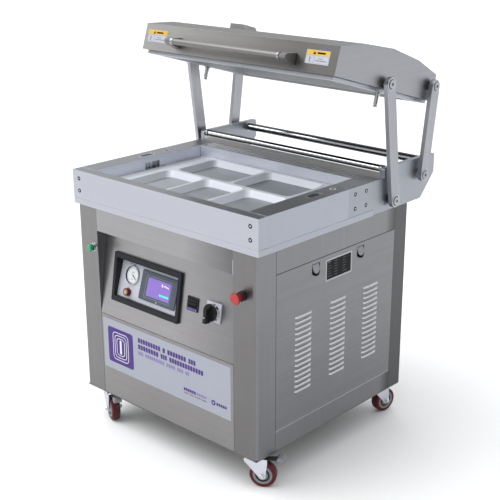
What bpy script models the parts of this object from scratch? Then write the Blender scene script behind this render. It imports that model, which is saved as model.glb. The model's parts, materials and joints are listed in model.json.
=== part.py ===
"""Tray vacuum packing machine: cabinet on casters, sealing chamber and a lid on a four-bar linkage.

Metres, +Z up, the operator stands on the -Y side.  Everything hangs on the empty "machine", whose
origin lies on the floor under the front face of the chamber rim.  The lid stands open.
"""

import math

import bmesh
import bpy
from mathutils import Matrix, Vector

# ---------------------------------------------------------------- driving dimensions
GAP = 0.0003                    # clearance between pieces that touch
SHEET = 0.002                   # stainless sheet
RUNNING = 0.0004                # radial clearance of turning shafts

RIM_WIDTH = 0.800
RIM_TOP = 0.868
RIM_BAR_HEIGHT = 0.091
BASE_HEIGHT = 0.020
BASE_DEPTH = 0.524
FRONT_BAR = 0.035
SIDE_BAR = 0.070
OPENING_BACK = 0.5025           # back wall of the chamber
BAR_END = 0.5757
FRONT_TO_CENTRE = 0.409         # rim front face to the middle of the whole machine

BODY_HALF = 0.388
BODY_FRONT = 0.0043
BODY_BACK = 0.724
BODY_BOTTOM = 0.1141
CORNER_RADIUS = 0.012
POST_WIDTH = 0.0895
POST_LIP = 0.050
PANEL_TOP = RIM_TOP - 0.1857    # lower edge of the front top band
PANEL_FOOT = RIM_TOP - 0.4655   # control panel meets the door
PANEL_RECESS = 0.0446           # the panel leans back by this much at its top
SIDE_OPENING = (0.0878, 0.660, 0.182, 0.6805)   # y from, y to, z from, z to

LET_IN = 0.400                  # the side plates are let into the rim's side bars behind this line
PLATE_THICK = 0.016
PLATE_BACK = 0.850
PLATE_RISE = 0.030
PLATE_DROP = 0.108
PLATE_CHAMFER = (0.0716, 0.076)

LID_LENGTH = 0.521
LID_HALF = 0.4007
LID_FRONT_HEIGHT = 0.085
LID_CROWN = 0.122
FRAME_THICK = 0.011             # aluminium frame under the cover
FRAME_INSET = 0.014
LID_REST = 0.0008               # air left over the rim when the lid is down
LID_TILT = math.radians(16.0)   # front edge up when open

FRONT_PIVOT = (0.6056, RIM_TOP - 0.0752)        # fixed pivot of the front arms
REAR_PIVOT = (0.7592, RIM_TOP - 0.0221)         # fixed pivot of the rear arms
LID_FRONT_PIVOT = (0.2482, 0.0168)              # in the lid's own frame
LID_REAR_PIVOT = (0.4904, 0.0466)
ARM_INNER = 0.4113
ARM_OUTER = 0.4254
ARM_WIDTH = 0.0417
PIN_RADIUS = 0.008
COLLAR_RADIUS = 0.013
CAP_RADIUS = 0.0135
CAP_THICK = 0.0036
SOCKET_RADIUS = 0.0045           # tool socket in each cap
SOCKET_DEPTH = 0.0022

ROLLER_AXIS = (0.592, RIM_TOP + 0.0225)
SHAFT_AXIS = (0.800, RIM_TOP + 0.0115)
ROLLER_RADIUS = 0.011
SHAFT_RADIUS = 0.013

WHEEL_RADIUS = 0.0415
WHEEL_WIDTH = 0.029
CASTER_TRAIL = 0.032
CASTER_INSET = (0.057, 0.0475)  # swivel axis from the cabinet's side and from its front or back
CASTER_HEADINGS = {"front_right": 30.0, "front_left": -25.0, "rear_right": 79.0, "rear_left": 104.0}

FINISHES = {                    # colour, roughness, metallic
    "stainless": ((0.42, 0.41, 0.40), 0.36, 1.0),
    "aluminium": ((0.62, 0.64, 0.69), 0.42, 1.0),
    "chrome": ((0.75, 0.75, 0.76), 0.12, 1.0),
    "zinc": ((0.62, 0.64, 0.68), 0.34, 1.0),
    "dark_plate": ((0.10, 0.10, 0.11), 0.55, 0.2),
    "silicone": ((0.50, 0.12, 0.08), 0.60, 0.0),
    "black_plastic": ((0.03, 0.03, 0.03), 0.45, 0.0),
    "white_plate": ((0.72, 0.74, 0.76), 0.40, 0.2),
    "slate_plastic": ((0.09, 0.11, 0.14), 0.45, 0.0),
    "red_plastic": ((0.55, 0.05, 0.05), 0.35, 0.0),
    "green_plastic": ((0.03, 0.35, 0.14), 0.35, 0.0),
    "orange_lens": ((0.75, 0.12, 0.04), 0.25, 0.0),
    "polyurethane": ((0.12, 0.012, 0.018), 0.45, 0.0),
    "blue_paint": ((0.05, 0.12, 0.25), 0.45, 0.0),
    "grey_paint": ((0.45, 0.46, 0.47), 0.50, 0.0),
}


# ---------------------------------------------------------------- modelling helpers
def clear_scene():
    for item in list(bpy.data.objects):
        bpy.data.objects.remove(item, do_unlink=True)


def add_empty(name, parent, location=(0, 0, 0), rotation=(0, 0, 0)):
    empty = bpy.data.objects.new(name, None)
    empty.empty_display_size = 0.03
    empty.parent = parent
    empty.location = location
    empty.rotation_euler = rotation
    bpy.context.collection.objects.link(empty)
    return empty


def make_material(name, finish):
    colour, roughness, metallic = FINISHES[finish]
    material = bpy.data.materials.new(name)
    material.use_nodes = True
    shader = material.node_tree.nodes["Principled BSDF"]
    shader.inputs["Base Color"].default_value = (*colour, 1.0)
    shader.inputs["Roughness"].default_value = roughness
    shader.inputs["Metallic"].default_value = metallic
    return material


def make_object(name, bm, parent, location=(0, 0, 0), rotation=(0, 0, 0)):
    bmesh.ops.recalc_face_normals(bm, faces=bm.faces)
    mesh = bpy.data.meshes.new(name)
    bm.to_mesh(mesh)
    bm.free()
    item = bpy.data.objects.new(name, mesh)
    item.parent = parent
    item.location = location
    item.rotation_euler = rotation
    bpy.context.collection.objects.link(item)
    return item


def add_piece(name, bm, finish, parent, location=(0, 0, 0), rotation=(0, 0, 0), smooth=False):
    """One sub-part with its own material; round ones are shaded smooth."""
    piece = make_object(name, bm, parent, location, rotation)
    piece.data.materials.append(make_material(name, finish))
    if smooth:
        piece.data.shade_smooth()
        piece.data.set_sharp_from_angle(angle=math.radians(35))
    return piece


def combine(piece, bm, operation):
    """Cut (DIFFERENCE), join (UNION) or trim (INTERSECT) a piece with a hidden helper solid."""
    helper = make_object(piece.name + "_helper", bm, piece)
    helper.hide_render = True
    helper.display_type = "WIRE"
    modifier = piece.modifiers.new(operation.lower(), "BOOLEAN")
    modifier.operation = operation
    modifier.object = helper


def cut(piece, bm):
    combine(piece, bm, "DIFFERENCE")


def join(piece, bm):
    combine(piece, bm, "UNION")


def box(x0, x1, y0, y1, z0, z1):
    bm = bmesh.new()
    size = Matrix.Diagonal((x1 - x0, y1 - y0, z1 - z0, 1.0))
    centre = Matrix.Translation(((x0 + x1) / 2, (y0 + y1) / 2, (z0 + z1) / 2))
    bmesh.ops.create_cube(bm, size=1.0, matrix=centre @ size)
    return bm


def add_bodies(bm, others):
    """Puts further separate solids into one mesh."""
    for other in others:
        mesh = bpy.data.meshes.new("part")
        other.to_mesh(mesh)
        other.free()
        bm.from_mesh(mesh)
        bpy.data.meshes.remove(mesh)
    return bm


def to_space(axis, along, first, second):
    """A point from its place along an axis and its two coordinates across it."""
    if axis == "X":
        return Vector((along, first, second))
    if axis == "Y":
        return Vector((first, along, second))
    return Vector((first, second, along))


def loft(sections, closed=False):
    """Skin over a row of equal point rings; open rows get flat ends, closed rows come round."""
    bm = bmesh.new()
    rings = [[bm.verts.new(point) for point in section] for section in sections]
    count = len(rings[0])
    pairs = list(zip(rings, rings[1:]))
    if closed:
        pairs.append((rings[-1], rings[0]))
    for lower, upper in pairs:
        for i in range(count):
            j = (i + 1) % count
            bm.faces.new((lower[i], lower[j], upper[j], upper[i]))
    if not closed:
        bm.faces.new(rings[0][::-1])
        bm.faces.new(rings[-1])
    return bm


def prism(outline, axis, start, end):
    """An outline in the two other axes, drawn out along an axis."""
    return loft([[to_space(axis, along, u, v) for u, v in outline] for along in (start, end)])


def circle(radius, count, centre=(0.0, 0.0)):
    step = 2 * math.pi / count
    return [
        (centre[0] + radius * math.cos(i * step), centre[1] + radius * math.sin(i * step))
        for i in range(count)
    ]


def turned(profile, axis, count=32, centre=(0.0, 0.0), hollow=False):
    """A turned piece: profile lists (place along the axis, radius)."""
    sections = [
        [to_space(axis, along, u, v) for u, v in circle(radius, count, centre)]
        for along, radius in profile
    ]
    return loft(sections, closed=hollow)


def rounded_rectangle(u0, u1, v0, v1, radius, steps=5):
    points = []
    corners = ((u1 - radius, v1 - radius), (u0 + radius, v1 - radius),
               (u0 + radius, v0 + radius), (u1 - radius, v0 + radius))
    for quarter, (cu, cv) in enumerate(corners):
        for i in range(steps + 1):
            angle = math.pi / 2 * (quarter + i / steps)
            points.append((cu + radius * math.cos(angle), cv + radius * math.sin(angle)))
    return points


def rectangle(u0, u1, v0, v1):
    return [(u0, v0), (u1, v0), (u1, v1), (u0, v1)]


def stadium(start, end, radius, steps=10):
    """Outline of a flat bar with round ends between two points."""
    direction = math.atan2(end[1] - start[1], end[0] - start[0])
    points = []
    for centre, turn in ((end, -math.pi / 2), (start, math.pi / 2)):
        for i in range(steps + 1):
            angle = direction + turn + math.pi * i / steps
            points.append((centre[0] + radius * math.cos(angle), centre[1] + radius * math.sin(angle)))
    return points


def inset_outline(points, distance):
    """The outline moved inwards by a distance; points run clockwise seen with u right, v up."""
    result = []
    count = len(points)
    for i in range(count):
        before, here, after = (Vector(points[(i + k) % count]) for k in (-1, 0, 1))
        first = (here - before).normalized()
        second = (after - here).normalized()
        normal_a = Vector((first.y, -first.x))
        normal_b = Vector((second.y, -second.x))
        middle = (normal_a + normal_b).normalized()
        result.append(tuple(here + middle * (distance / middle.dot(normal_a))))
    return result


def rotated(point, angle):
    cosine, sine = math.cos(angle), math.sin(angle)
    return (point[0] * cosine - point[1] * sine, point[0] * sine + point[1] * cosine)


def mirrored(side, x0, x1):
    """A span of x on the right (side 1) or left (side -1), smaller value first."""
    return (x0, x1) if side > 0 else (-x1, -x0)


SIDES = (("left", -1), ("right", 1))


# ---------------------------------------------------------------- linkage geometry
def closed_lid_pivots():
    """Both lid pivots when the lid lies level on the rim, front edge over the rim's front."""
    level = RIM_TOP + FRAME_THICK + LID_REST
    return [(point[0], point[1] + level) for point in (LID_FRONT_PIVOT, LID_REAR_PIVOT)]


def open_lid_pivots():
    """Both lid pivots when the lid stands open at LID_TILT, from the two arm lengths."""
    front_down, rear_down = closed_lid_pivots()
    front_arm = math.dist(front_down, FRONT_PIVOT)
    rear_arm = math.dist(rear_down, REAR_PIVOT)
    span = rotated(
        (LID_REAR_PIVOT[0] - LID_FRONT_PIVOT[0], LID_REAR_PIVOT[1] - LID_FRONT_PIVOT[1]), -LID_TILT)
    shifted = (REAR_PIVOT[0] - span[0], REAR_PIVOT[1] - span[1])
    gap_y, gap_z = shifted[0] - FRONT_PIVOT[0], shifted[1] - FRONT_PIVOT[1]
    distance = math.hypot(gap_y, gap_z)
    along = (front_arm ** 2 - rear_arm ** 2 + distance ** 2) / (2 * distance)
    across = math.sqrt(front_arm ** 2 - along ** 2)
    unit = (gap_y / distance, gap_z / distance)
    candidates = [
        (FRONT_PIVOT[0] + along * unit[0] - sign * across * unit[1],
         FRONT_PIVOT[1] + along * unit[1] + sign * across * unit[0])
        for sign in (1, -1)
    ]
    front = max(candidates, key=lambda point: point[1])
    return front, (front[0] + span[0], front[1] + span[1])


# ---------------------------------------------------------------- cabinet
def side_frame_outline(side):
    """Plan view of one folded side: front lip, front face, round corner, side, rear flange."""
    inner_edge = BODY_HALF - POST_WIDTH
    outer = [(inner_edge, BODY_FRONT + POST_LIP), (inner_edge, BODY_FRONT)]
    inner = [(inner_edge + SHEET, BODY_FRONT + POST_LIP), (inner_edge + SHEET, BODY_FRONT + SHEET)]
    centre = (BODY_HALF - CORNER_RADIUS, BODY_FRONT + CORNER_RADIUS)
    for i in range(5):
        angle = -math.pi / 2 + math.pi / 2 * i / 4
        for path, radius in ((outer, CORNER_RADIUS), (inner, CORNER_RADIUS - SHEET)):
            path.append((centre[0] + radius * math.cos(angle), centre[1] + radius * math.sin(angle)))
    rear_edge = BODY_HALF - 0.078
    outer += [(BODY_HALF, BODY_BACK), (rear_edge, BODY_BACK)]
    inner += [(BODY_HALF - SHEET, BODY_BACK - SHEET), (rear_edge, BODY_BACK - SHEET)]
    return [(side * x, y) for x, y in outer + inner[::-1]]


def build_side_frames(machine):
    y0, y1, z0, z1 = SIDE_OPENING
    top = RIM_TOP - RIM_BAR_HEIGHT - BASE_HEIGHT - GAP
    for name, side in SIDES:
        frame = add_piece(
            name + "_side_frame",
            prism(side_frame_outline(side), "Z", BODY_BOTTOM + SHEET + GAP, top),
            "stainless", machine)
        x0, x1 = mirrored(side, BODY_HALF - 0.02, BODY_HALF + 0.02)
        cut(frame, box(x0, x1, y0, y1, z0, z1))
        if side > 0:
            cut(frame, turned([(BODY_FRONT - 0.01, 0.0112), (BODY_FRONT + 0.01, 0.0112)], "Y", 24,
                              (STOP_PLACE[0], STOP_PLACE[1])))
        else:
            cut(frame, turned([(BODY_FRONT - 0.01, 0.0075), (BODY_FRONT + 0.01, 0.0075)], "Y", 24,
                              (START_PLACE[0], START_PLACE[1])))


LOUVER_COLUMNS = (0.1754, 0.3400, 0.5056)       # front end of each column of louvers
LOUVER_LENGTH = 0.0708
LOUVER_PITCH = 0.0171
LOUVER_COUNT = 15
LOUVER_TOP = RIM_TOP - 0.3440
LOUVER_SLOT = 0.0055
SCOOP_PLACES = ((0.2650, RIM_TOP - 0.2190), (0.4820, RIM_TOP - 0.2190))
SCOOP_RADIUS = 0.018
SCOOP_HEIGHT = 0.039


def scoop_outline(centre):
    """Finger pull: flat upper edge, round foot."""
    y, z = centre
    arc_z = z - SCOOP_HEIGHT / 2 + SCOOP_RADIUS
    points = [(y + SCOOP_RADIUS, z + SCOOP_HEIGHT / 2), (y - SCOOP_RADIUS, z + SCOOP_HEIGHT / 2)]
    for i in range(9):
        angle = math.pi + math.pi * i / 8
        points.append((y + SCOOP_RADIUS * math.cos(angle), arc_z + SCOOP_RADIUS * math.sin(angle)))
    return points


def build_louver_panels(machine):
    seam = 0.0008
    y0, y1, z0, z1 = SIDE_OPENING
    for name, side in SIDES:
        x0, x1 = mirrored(side, BODY_HALF - SHEET, BODY_HALF)
        panel = add_piece(
            "louver_panel_" + name,
            box(x0, x1, y0 + seam, y1 - seam, z0 + seam, z1 - seam), "stainless", machine)
        holes = []
        for column in LOUVER_COLUMNS:
            for row in range(LOUVER_COUNT):
                z = LOUVER_TOP - row * LOUVER_PITCH
                holes.append(box(x0 - 0.01, x1 + 0.01, column, column + LOUVER_LENGTH, z - LOUVER_SLOT, z))
        for place in SCOOP_PLACES:
            holes.append(prism(scoop_outline(place), "X", x0 - 0.01, x1 + 0.01))
        cut(panel, add_bodies(holes[0], holes[1:]))


def build_cabinet(machine):
    inner_edge = BODY_HALF - POST_WIDTH - GAP
    top = RIM_TOP - RIM_BAR_HEIGHT - BASE_HEIGHT - GAP
    floor = add_piece(
        "floor_plate",
        box(-BODY_HALF, BODY_HALF, BODY_FRONT, BODY_BACK, BODY_BOTTOM, BODY_BOTTOM + SHEET),
        "stainless", machine)
    holes = [
        turned([(BODY_BOTTOM - 0.01, 0.0062), (BODY_BOTTOM + 0.01, 0.0062)], "Z", 24, place)
        for place in caster_places().values()
    ]
    cut(floor, add_bodies(holes[0], holes[1:]))
    build_side_frames(machine)
    build_louver_panels(machine)
    band = [(BODY_FRONT, PANEL_TOP), (BODY_FRONT + POST_LIP, PANEL_TOP),
            (BODY_FRONT + POST_LIP, PANEL_TOP + SHEET), (BODY_FRONT + SHEET, PANEL_TOP + SHEET),
            (BODY_FRONT + SHEET, top), (BODY_FRONT, top)]
    add_piece("front_top_band", prism(band, "X", -inner_edge, inner_edge), "stainless", machine)

    door_back = BODY_FRONT + 0.018
    door = add_piece(
        "front_door",
        box(-inner_edge + 0.0007, inner_edge - 0.0007, BODY_FRONT, door_back,
            BODY_BOTTOM + SHEET + 0.001, PANEL_FOOT - 0.001),
        "stainless", machine)
    cut(door, box(-inner_edge + 0.003, inner_edge - 0.003, BODY_FRONT + SHEET, door_back + 0.01,
                  BODY_BOTTOM + 0.006, PANEL_FOOT - 0.004))

    rear_edge = BODY_HALF - 0.078 - GAP
    back = add_piece(
        "back_panel",
        box(-rear_edge, rear_edge, BODY_BACK - SHEET, BODY_BACK, BODY_BOTTOM + SHEET + GAP, top),
        "stainless", machine)
    join(back, box(-BODY_HALF + SHEET + GAP, BODY_HALF - SHEET - GAP, BASE_DEPTH + GAP,
                   BODY_BACK - SHEET - GAP, top - SHEET, top))
    join(back, box(-rear_edge, rear_edge, BODY_BACK - 0.003, BODY_BACK, top - SHEET, top))
    cut(back, turned([(BODY_BACK - 0.01, 0.0085), (BODY_BACK + 0.01, 0.0085)], "Y", 24, GLAND_PLACE))
    gland = [(BODY_BACK - 0.012, 0.008), (BODY_BACK + GAP, 0.008), (BODY_BACK + GAP, 0.0135),
             (BODY_BACK + 0.008, 0.0135), (BODY_BACK + 0.008, 0.0115), (BODY_BACK + 0.020, 0.0115),
             (BODY_BACK + 0.024, 0.0085)]
    add_piece("cable_gland", turned(gland, "Y", 24, GLAND_PLACE), "black_plastic", machine, smooth=True)


GLAND_PLACE = (0.24, 0.190)


# ---------------------------------------------------------------- inside the cabinet
def build_inside(machine):
    deck = BODY_BOTTOM + SHEET + GAP
    wall, crown, axis = 0.012, deck + 0.20, (0.38, deck + 0.11)
    pump = add_piece("vacuum_pump", box(-0.10, 0.20, 0.26, 0.50, deck, crown), "blue_paint", machine)
    join(pump, turned([(-0.31, 0.070), (-0.30, 0.085), (-0.09, 0.085)], "X", 24, axis))
    join(pump, box(-0.26, -0.12, 0.32, 0.44, deck, deck + 0.06))
    exhaust = [(crown - 0.01, 0.045), (crown + 0.07, 0.045), (crown + 0.08, 0.035)]
    join(pump, turned(exhaust, "Z", 24, (0.10, 0.38)))
    cut(pump, turned([(-0.32, 0.018), (-0.298, 0.018), (-0.298, 0.073), (-0.05, 0.073)], "X", 24, axis))
    cut(pump, box(-0.10 + wall, 0.20 - wall, 0.26 + wall, 0.50 - wall, deck - 0.01, crown - wall))
    hung, depth, plate = RIM_TOP - RIM_BAR_HEIGHT - BASE_HEIGHT - GAP, 0.26, 0.003
    box_shell = box(-0.16, 0.16, 0.14, 0.30, hung - depth, hung)
    electrical = add_piece("electrical_box", box_shell, "grey_paint", machine)
    cut(electrical, box(-0.16 + plate, 0.16 - plate, 0.14 + plate, 0.30 - plate,
                        hung - depth - 0.01, hung - plate))


# ---------------------------------------------------------------- chamber
LOCK_PLACE = (0.362, 0.2820)        # where the lid's locking pin enters a side bar
LOCK_SLOT = (0.011, 0.028)          # half width across, half length along
WINDOW = (0.2465, 0.3100, RIM_TOP - 0.044, RIM_TOP - 0.0165)


def build_rim(machine):
    half = RIM_WIDTH / 2
    bar_foot = RIM_TOP - RIM_BAR_HEIGHT
    base_foot = bar_foot - BASE_HEIGHT
    base = box(-half, half, 0.0, BASE_DEPTH, base_foot, bar_foot - GAP)
    add_piece("base_plate", base, "aluminium", machine)
    add_piece("rim_front_bar", box(-half, half, 0.0, FRONT_BAR, bar_foot, RIM_TOP), "aluminium", machine)
    seat = half - PLATE_THICK - GAP
    inner = half - SIDE_BAR
    start = FRONT_BAR + GAP
    for name, side in SIDES:
        outline = [(inner, start), (half, start), (half, LET_IN - GAP), (seat, LET_IN - GAP),
                   (seat, BAR_END), (inner, BAR_END)]
        bar = add_piece(
            "rim_" + name + "_bar",
            prism([(side * x, y) for x, y in outline], "Z", bar_foot, RIM_TOP), "aluminium", machine)
        place = (side * LOCK_PLACE[0], LOCK_PLACE[1])
        reach = LOCK_SLOT[1] - LOCK_SLOT[0]
        slot = stadium((place[0], place[1] - reach), (place[0], place[1] + reach), LOCK_SLOT[0], 6)
        cut(bar, prism(slot, "Z", RIM_TOP - 0.062, RIM_TOP + 0.01))
        x0, x1 = mirrored(side, inner - 0.01, inner + 0.014)
        cut(bar, box(x0, x1, *WINDOW))
    rear = [(OPENING_BACK + GAP, bar_foot), (OPENING_BACK + GAP, RIM_TOP)]
    ridge, groove, depth = 0.010, 0.006, 0.003
    for i in range(3):              # three grooves run along the bar
        y = OPENING_BACK + 0.008 + i * (ridge + groove)
        rear += [(y, RIM_TOP), (y, RIM_TOP - depth), (y + groove, RIM_TOP - depth), (y + groove, RIM_TOP)]
    rear += [(BAR_END, RIM_TOP), (BAR_END, bar_foot)]
    add_piece("rim_rear_bar", prism(rear, "X", -inner + GAP, inner - GAP), "aluminium", machine)


MOLD_LEDGE = RIM_TOP - 0.0385
MOLD_TOP = RIM_TOP - 0.0335
POCKET_FLOOR = RIM_TOP - 0.055
POCKET_DRAFT = 0.011
POCKET_RADIUS = 0.022


def pocket_spans():
    """x and y spans of the tray pockets: three upright ones in front, two lying ones behind."""
    spans = []
    pitch, width = 0.1765, 0.167
    for i in (-1, 0, 1):
        spans.append((i * pitch - width / 2, i * pitch + width / 2, 0.055, 0.2895))
    divider, length = 0.006, 0.236
    for side in (-1, 1):
        x0, x1 = mirrored(side, divider, divider + length)
        spans.append((x0, x1, 0.305, 0.486))
    return spans


def build_mold(machine):
    half = RIM_WIDTH / 2 - SIDE_BAR - GAP
    front, back = FRONT_BAR + GAP, OPENING_BACK
    border = 0.012
    spans = pocket_spans()
    left = min(span[0] for span in spans) - border
    right = max(span[1] for span in spans) + border
    mold = add_piece("tray_mold", box(-half, half, front, back, POCKET_FLOOR + GAP, MOLD_LEDGE),
                     "aluminium", machine)
    join(mold, box(left, right, front + border, back - 0.004, MOLD_LEDGE - 0.002, MOLD_TOP))
    over = 0.004                    # the cutters overrun both faces at the same draft
    rise = MOLD_TOP - POCKET_FLOOR
    cutters = []
    for x0, x1, y0, y1 in spans:
        sections = []
        for height, inset in ((MOLD_TOP + over, -POCKET_DRAFT * over / rise),
                              (POCKET_FLOOR - over, POCKET_DRAFT * (rise + over) / rise)):
            outline = rounded_rectangle(x0 + inset, x1 - inset, y0 + inset, y1 - inset, POCKET_RADIUS)
            sections.append([Vector((x, y, height)) for x, y in outline])
        cutters.append(loft(sections))
    cut(mold, add_bodies(cutters[0], cutters[1:]))
    sheet = box(-half, half, front, back, POCKET_FLOOR - 0.004, POCKET_FLOOR)
    floor = add_piece("mold_floor", sheet, "stainless", machine)
    vent = turned([(POCKET_FLOOR - 0.02, 0.004), (POCKET_FLOOR + 0.01, 0.004)], "Z", 16, (0.035, 0.255))
    cut(floor, vent)


def side_plate_outline():
    """Side view (y, z) of the aluminium plate that carries the arms and the film rollers."""
    top = RIM_TOP + PLATE_RISE
    seam = RIM_TOP - RIM_BAR_HEIGHT + GAP
    foot = RIM_TOP - PLATE_DROP
    front, radius = BAR_END + GAP, 0.008
    points = [(LET_IN, seam), (LET_IN, RIM_TOP), (front, RIM_TOP)]
    for centre, start in ((front + radius, math.pi), (PLATE_BACK - radius, math.pi / 2)):
        for i in range(4):
            angle = start - math.pi / 2 * i / 3
            points.append((centre + radius * math.cos(angle), top - radius + radius * math.sin(angle)))
    points += [(PLATE_BACK, foot + PLATE_CHAMFER[1]), (PLATE_BACK - PLATE_CHAMFER[0], foot),
               (BASE_DEPTH + GAP, foot), (BASE_DEPTH + GAP, seam)]
    return points


def build_film_carrier(machine):
    """Side plates, film plate and the two film rollers behind the chamber."""
    half = RIM_WIDTH / 2
    inner = half - PLATE_THICK
    for name, side in SIDES:
        x0, x1 = mirrored(side, inner, half)
        outline = side_plate_outline()
        plate = add_piece("side_plate_" + name, prism(outline, "X", x0, x1), "aluminium", machine)
        bores = []
        for place, pin in ((FRONT_PIVOT, PIN_RADIUS), (REAR_PIVOT, PIN_RADIUS),
                           (ROLLER_AXIS, ROLLER_PIN), (SHAFT_AXIS, ROLLER_PIN)):
            bore = pin + RUNNING
            bores.append(turned([(x0 - 0.01, bore), (x1 + 0.01, bore)], "X", 24, place))
        cut(plate, add_bodies(bores[0], bores[1:]))
    span, front = inner - GAP, BAR_END + GAP
    sheet = box(-span, span, front, front + 0.003, RIM_TOP - 0.060, RIM_TOP + 0.014)
    add_piece("film_plate", sheet, "stainless", machine)
    for name, place, radius in (("film_roller", ROLLER_AXIS, ROLLER_RADIUS),
                                ("film_shaft", SHAFT_AXIS, SHAFT_RADIUS)):
        face, pin_end = inner - 0.012, half - 0.002
        shoulder = 0.0015
        profile = [(-pin_end, ROLLER_PIN), (-face, ROLLER_PIN), (-face, radius - shoulder),
                   (-face + shoulder, radius), (face - shoulder, radius), (face, radius - shoulder),
                   (face, ROLLER_PIN), (pin_end, ROLLER_PIN)]
        axis = add_empty(name + "_axis", machine, (0, *place))
        add_piece(name, turned(profile, "X"), "chrome", axis, smooth=True)


ROLLER_PIN = 0.0045


# ---------------------------------------------------------------- lid and arms
def lid_outline():
    """Side view of the folded cover in the lid's frame: front foot at the origin, y to the rear."""
    lean = 0.0034
    middle = LID_LENGTH / 2
    knee = (0.1156, 0.111)
    return [(0.0, 0.0), (lean, LID_FRONT_HEIGHT), knee, (middle, LID_CROWN),
            (LID_LENGTH - knee[0], knee[1]), (LID_LENGTH - lean, LID_FRONT_HEIGHT), (LID_LENGTH, 0.0)]


def build_cover(lid):
    outline = lid_outline()
    cover = add_piece("lid_cover", prism(outline, "X", -LID_HALF, LID_HALF), "stainless", lid)
    cut(cover, prism(inset_outline(outline, SHEET), "X", -LID_HALF + SHEET, LID_HALF - SHEET))
    lip = 0.022
    cut(cover, box(-LID_HALF + lip, LID_HALF - lip, lip, LID_LENGTH - lip, -0.01, 0.01))


def ring_plate(half, y0, y1, border, z0, z1):
    """A flat rectangular frame."""
    outer = rectangle(-half, half, y0, y1)
    inner = rectangle(-half + border, half - border, y0 + border, y1 - border)
    sections = [[Vector((x, y, z)) for x, y in outline]
                for outline, z in ((outer, z0), (outer, z1), (inner, z1), (inner, z0))]
    return loft(sections, closed=True)


def build_lid_underside(lid):
    half = LID_HALF - FRAME_INSET
    y0, y1 = FRAME_INSET, LID_LENGTH - FRAME_INSET
    border = 0.052
    groove, lip = 0.010, 0.0005
    frame = add_piece("lid_frame", ring_plate(half, y0, y1, border, -FRAME_THICK, -GAP), "aluminium", lid)
    track = border - groove - 0.006
    seal_half, seal_y0, seal_y1 = half - track, y0 + track, y1 - track
    floor = -0.005
    cut(frame, ring_plate(seal_half + GAP, seal_y0 - GAP, seal_y1 + GAP, groove + 2 * GAP,
                          -FRAME_THICK - 0.01, floor))
    seal = ring_plate(seal_half, seal_y0, seal_y1, groove, -FRAME_THICK - lip, floor - GAP)
    add_piece("lid_seal", seal, "silicone", lid)
    edge = border + 0.003
    add_piece("heating_plate",
              box(-half + edge, half - edge, y0 + edge, y1 - edge, -0.008, 0.004), "dark_plate", lid)
    for name, side in SIDES:
        pin = [(-FRAME_THICK - GAP, 0.0095), (-FRAME_THICK - 0.004, 0.0095), (-FRAME_THICK - 0.004, 0.0070),
               (-0.046, 0.0070), (-0.048, 0.0052), (-0.051, 0.0052), (-0.053, 0.0070), (-0.056, 0.0050)]
        place = (side * LOCK_PLACE[0], LOCK_PIN_Y, 0.0)
        add_piece("lock_pin_" + name, turned(pin, "Z", 24), "chrome", lid, place, smooth=True)


LOCK_PIN_Y = 0.276
HANDLE_HALF = 0.2268
HANDLE_REACH = 0.040
HANDLE_HEIGHT = 0.0325


def build_handle(lid):
    tube_radius, bracket = 0.0095, 0.0247
    face = 0.0003
    end = HANDLE_HALF + 0.004
    tube = turned([(-end, tube_radius), (end, tube_radius)], "X", 24, (-HANDLE_REACH, HANDLE_HEIGHT))
    handle = add_piece("lid_handle", tube, "stainless", lid, smooth=True)
    root, tip = 0.0175, 0.0105
    for side in (-1, 1):
        x0, x1 = mirrored(side, HANDLE_HALF, HANDLE_HALF + bracket)
        outline = [(face - 0.0004, HANDLE_HEIGHT - root), (face + 0.0008, HANDLE_HEIGHT + root),
                   (-HANDLE_REACH, HANDLE_HEIGHT + tip), (-HANDLE_REACH - 0.009, HANDLE_HEIGHT + 0.004),
                   (-HANDLE_REACH - 0.009, HANDLE_HEIGHT - 0.004), (-HANDLE_REACH, HANDLE_HEIGHT - tip)]
        join(handle, prism([(y - 0.0004, z) for y, z in outline], "X", x0, x1))


def build_valve_box(lid):
    """Small cover on the crown of the lid, its right end sloping."""
    y0, y1, top = 0.285, 0.345, 0.147
    slope = (LID_CROWN - 0.111) / (LID_LENGTH / 2 - 0.1156)
    bottoms = [LID_CROWN - slope * (y - LID_LENGTH / 2) + GAP for y in (y0, y1)]
    left, right, top_right = -0.300, -0.212, -0.238
    lower = [Vector((left, y0, bottoms[0])), Vector((right, y0, bottoms[0])),
             Vector((right, y1, bottoms[1])), Vector((left, y1, bottoms[1]))]
    upper = [Vector((left, y0, top)), Vector((top_right, y0, top)),
             Vector((top_right, y1, top)), Vector((left, y1, top))]
    add_piece("valve_box", loft([lower, upper]), "stainless", lid)


def arm_bar(start, end, side):
    x0, x1 = mirrored(side, ARM_INNER, ARM_OUTER)
    return prism(stadium(start, end, ARM_WIDTH / 2), "X", x0, x1)


def pivot_steps(wall):
    """Half profile of a pivot: collar next to a wall, journal in the arm, cap with its socket outside."""
    face, chamfer = ARM_OUTER + GAP, 0.001
    front = face + CAP_THICK
    return [(wall, COLLAR_RADIUS), (ARM_INNER - GAP, COLLAR_RADIUS), (ARM_INNER - GAP, PIN_RADIUS),
            (face, PIN_RADIUS), (face, CAP_RADIUS), (front - chamfer, CAP_RADIUS),
            (front, CAP_RADIUS - chamfer), (front, SOCKET_RADIUS), (front - SOCKET_DEPTH, SOCKET_RADIUS)]


def flipped(steps):
    """The same profile on the other side of the machine."""
    return [(-x, radius) for x, radius in reversed(steps)]


def turned_pivot(steps, side, centre=(0.0, 0.0)):
    return turned(steps if side > 0 else flipped(steps), "X", 24, centre)


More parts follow.
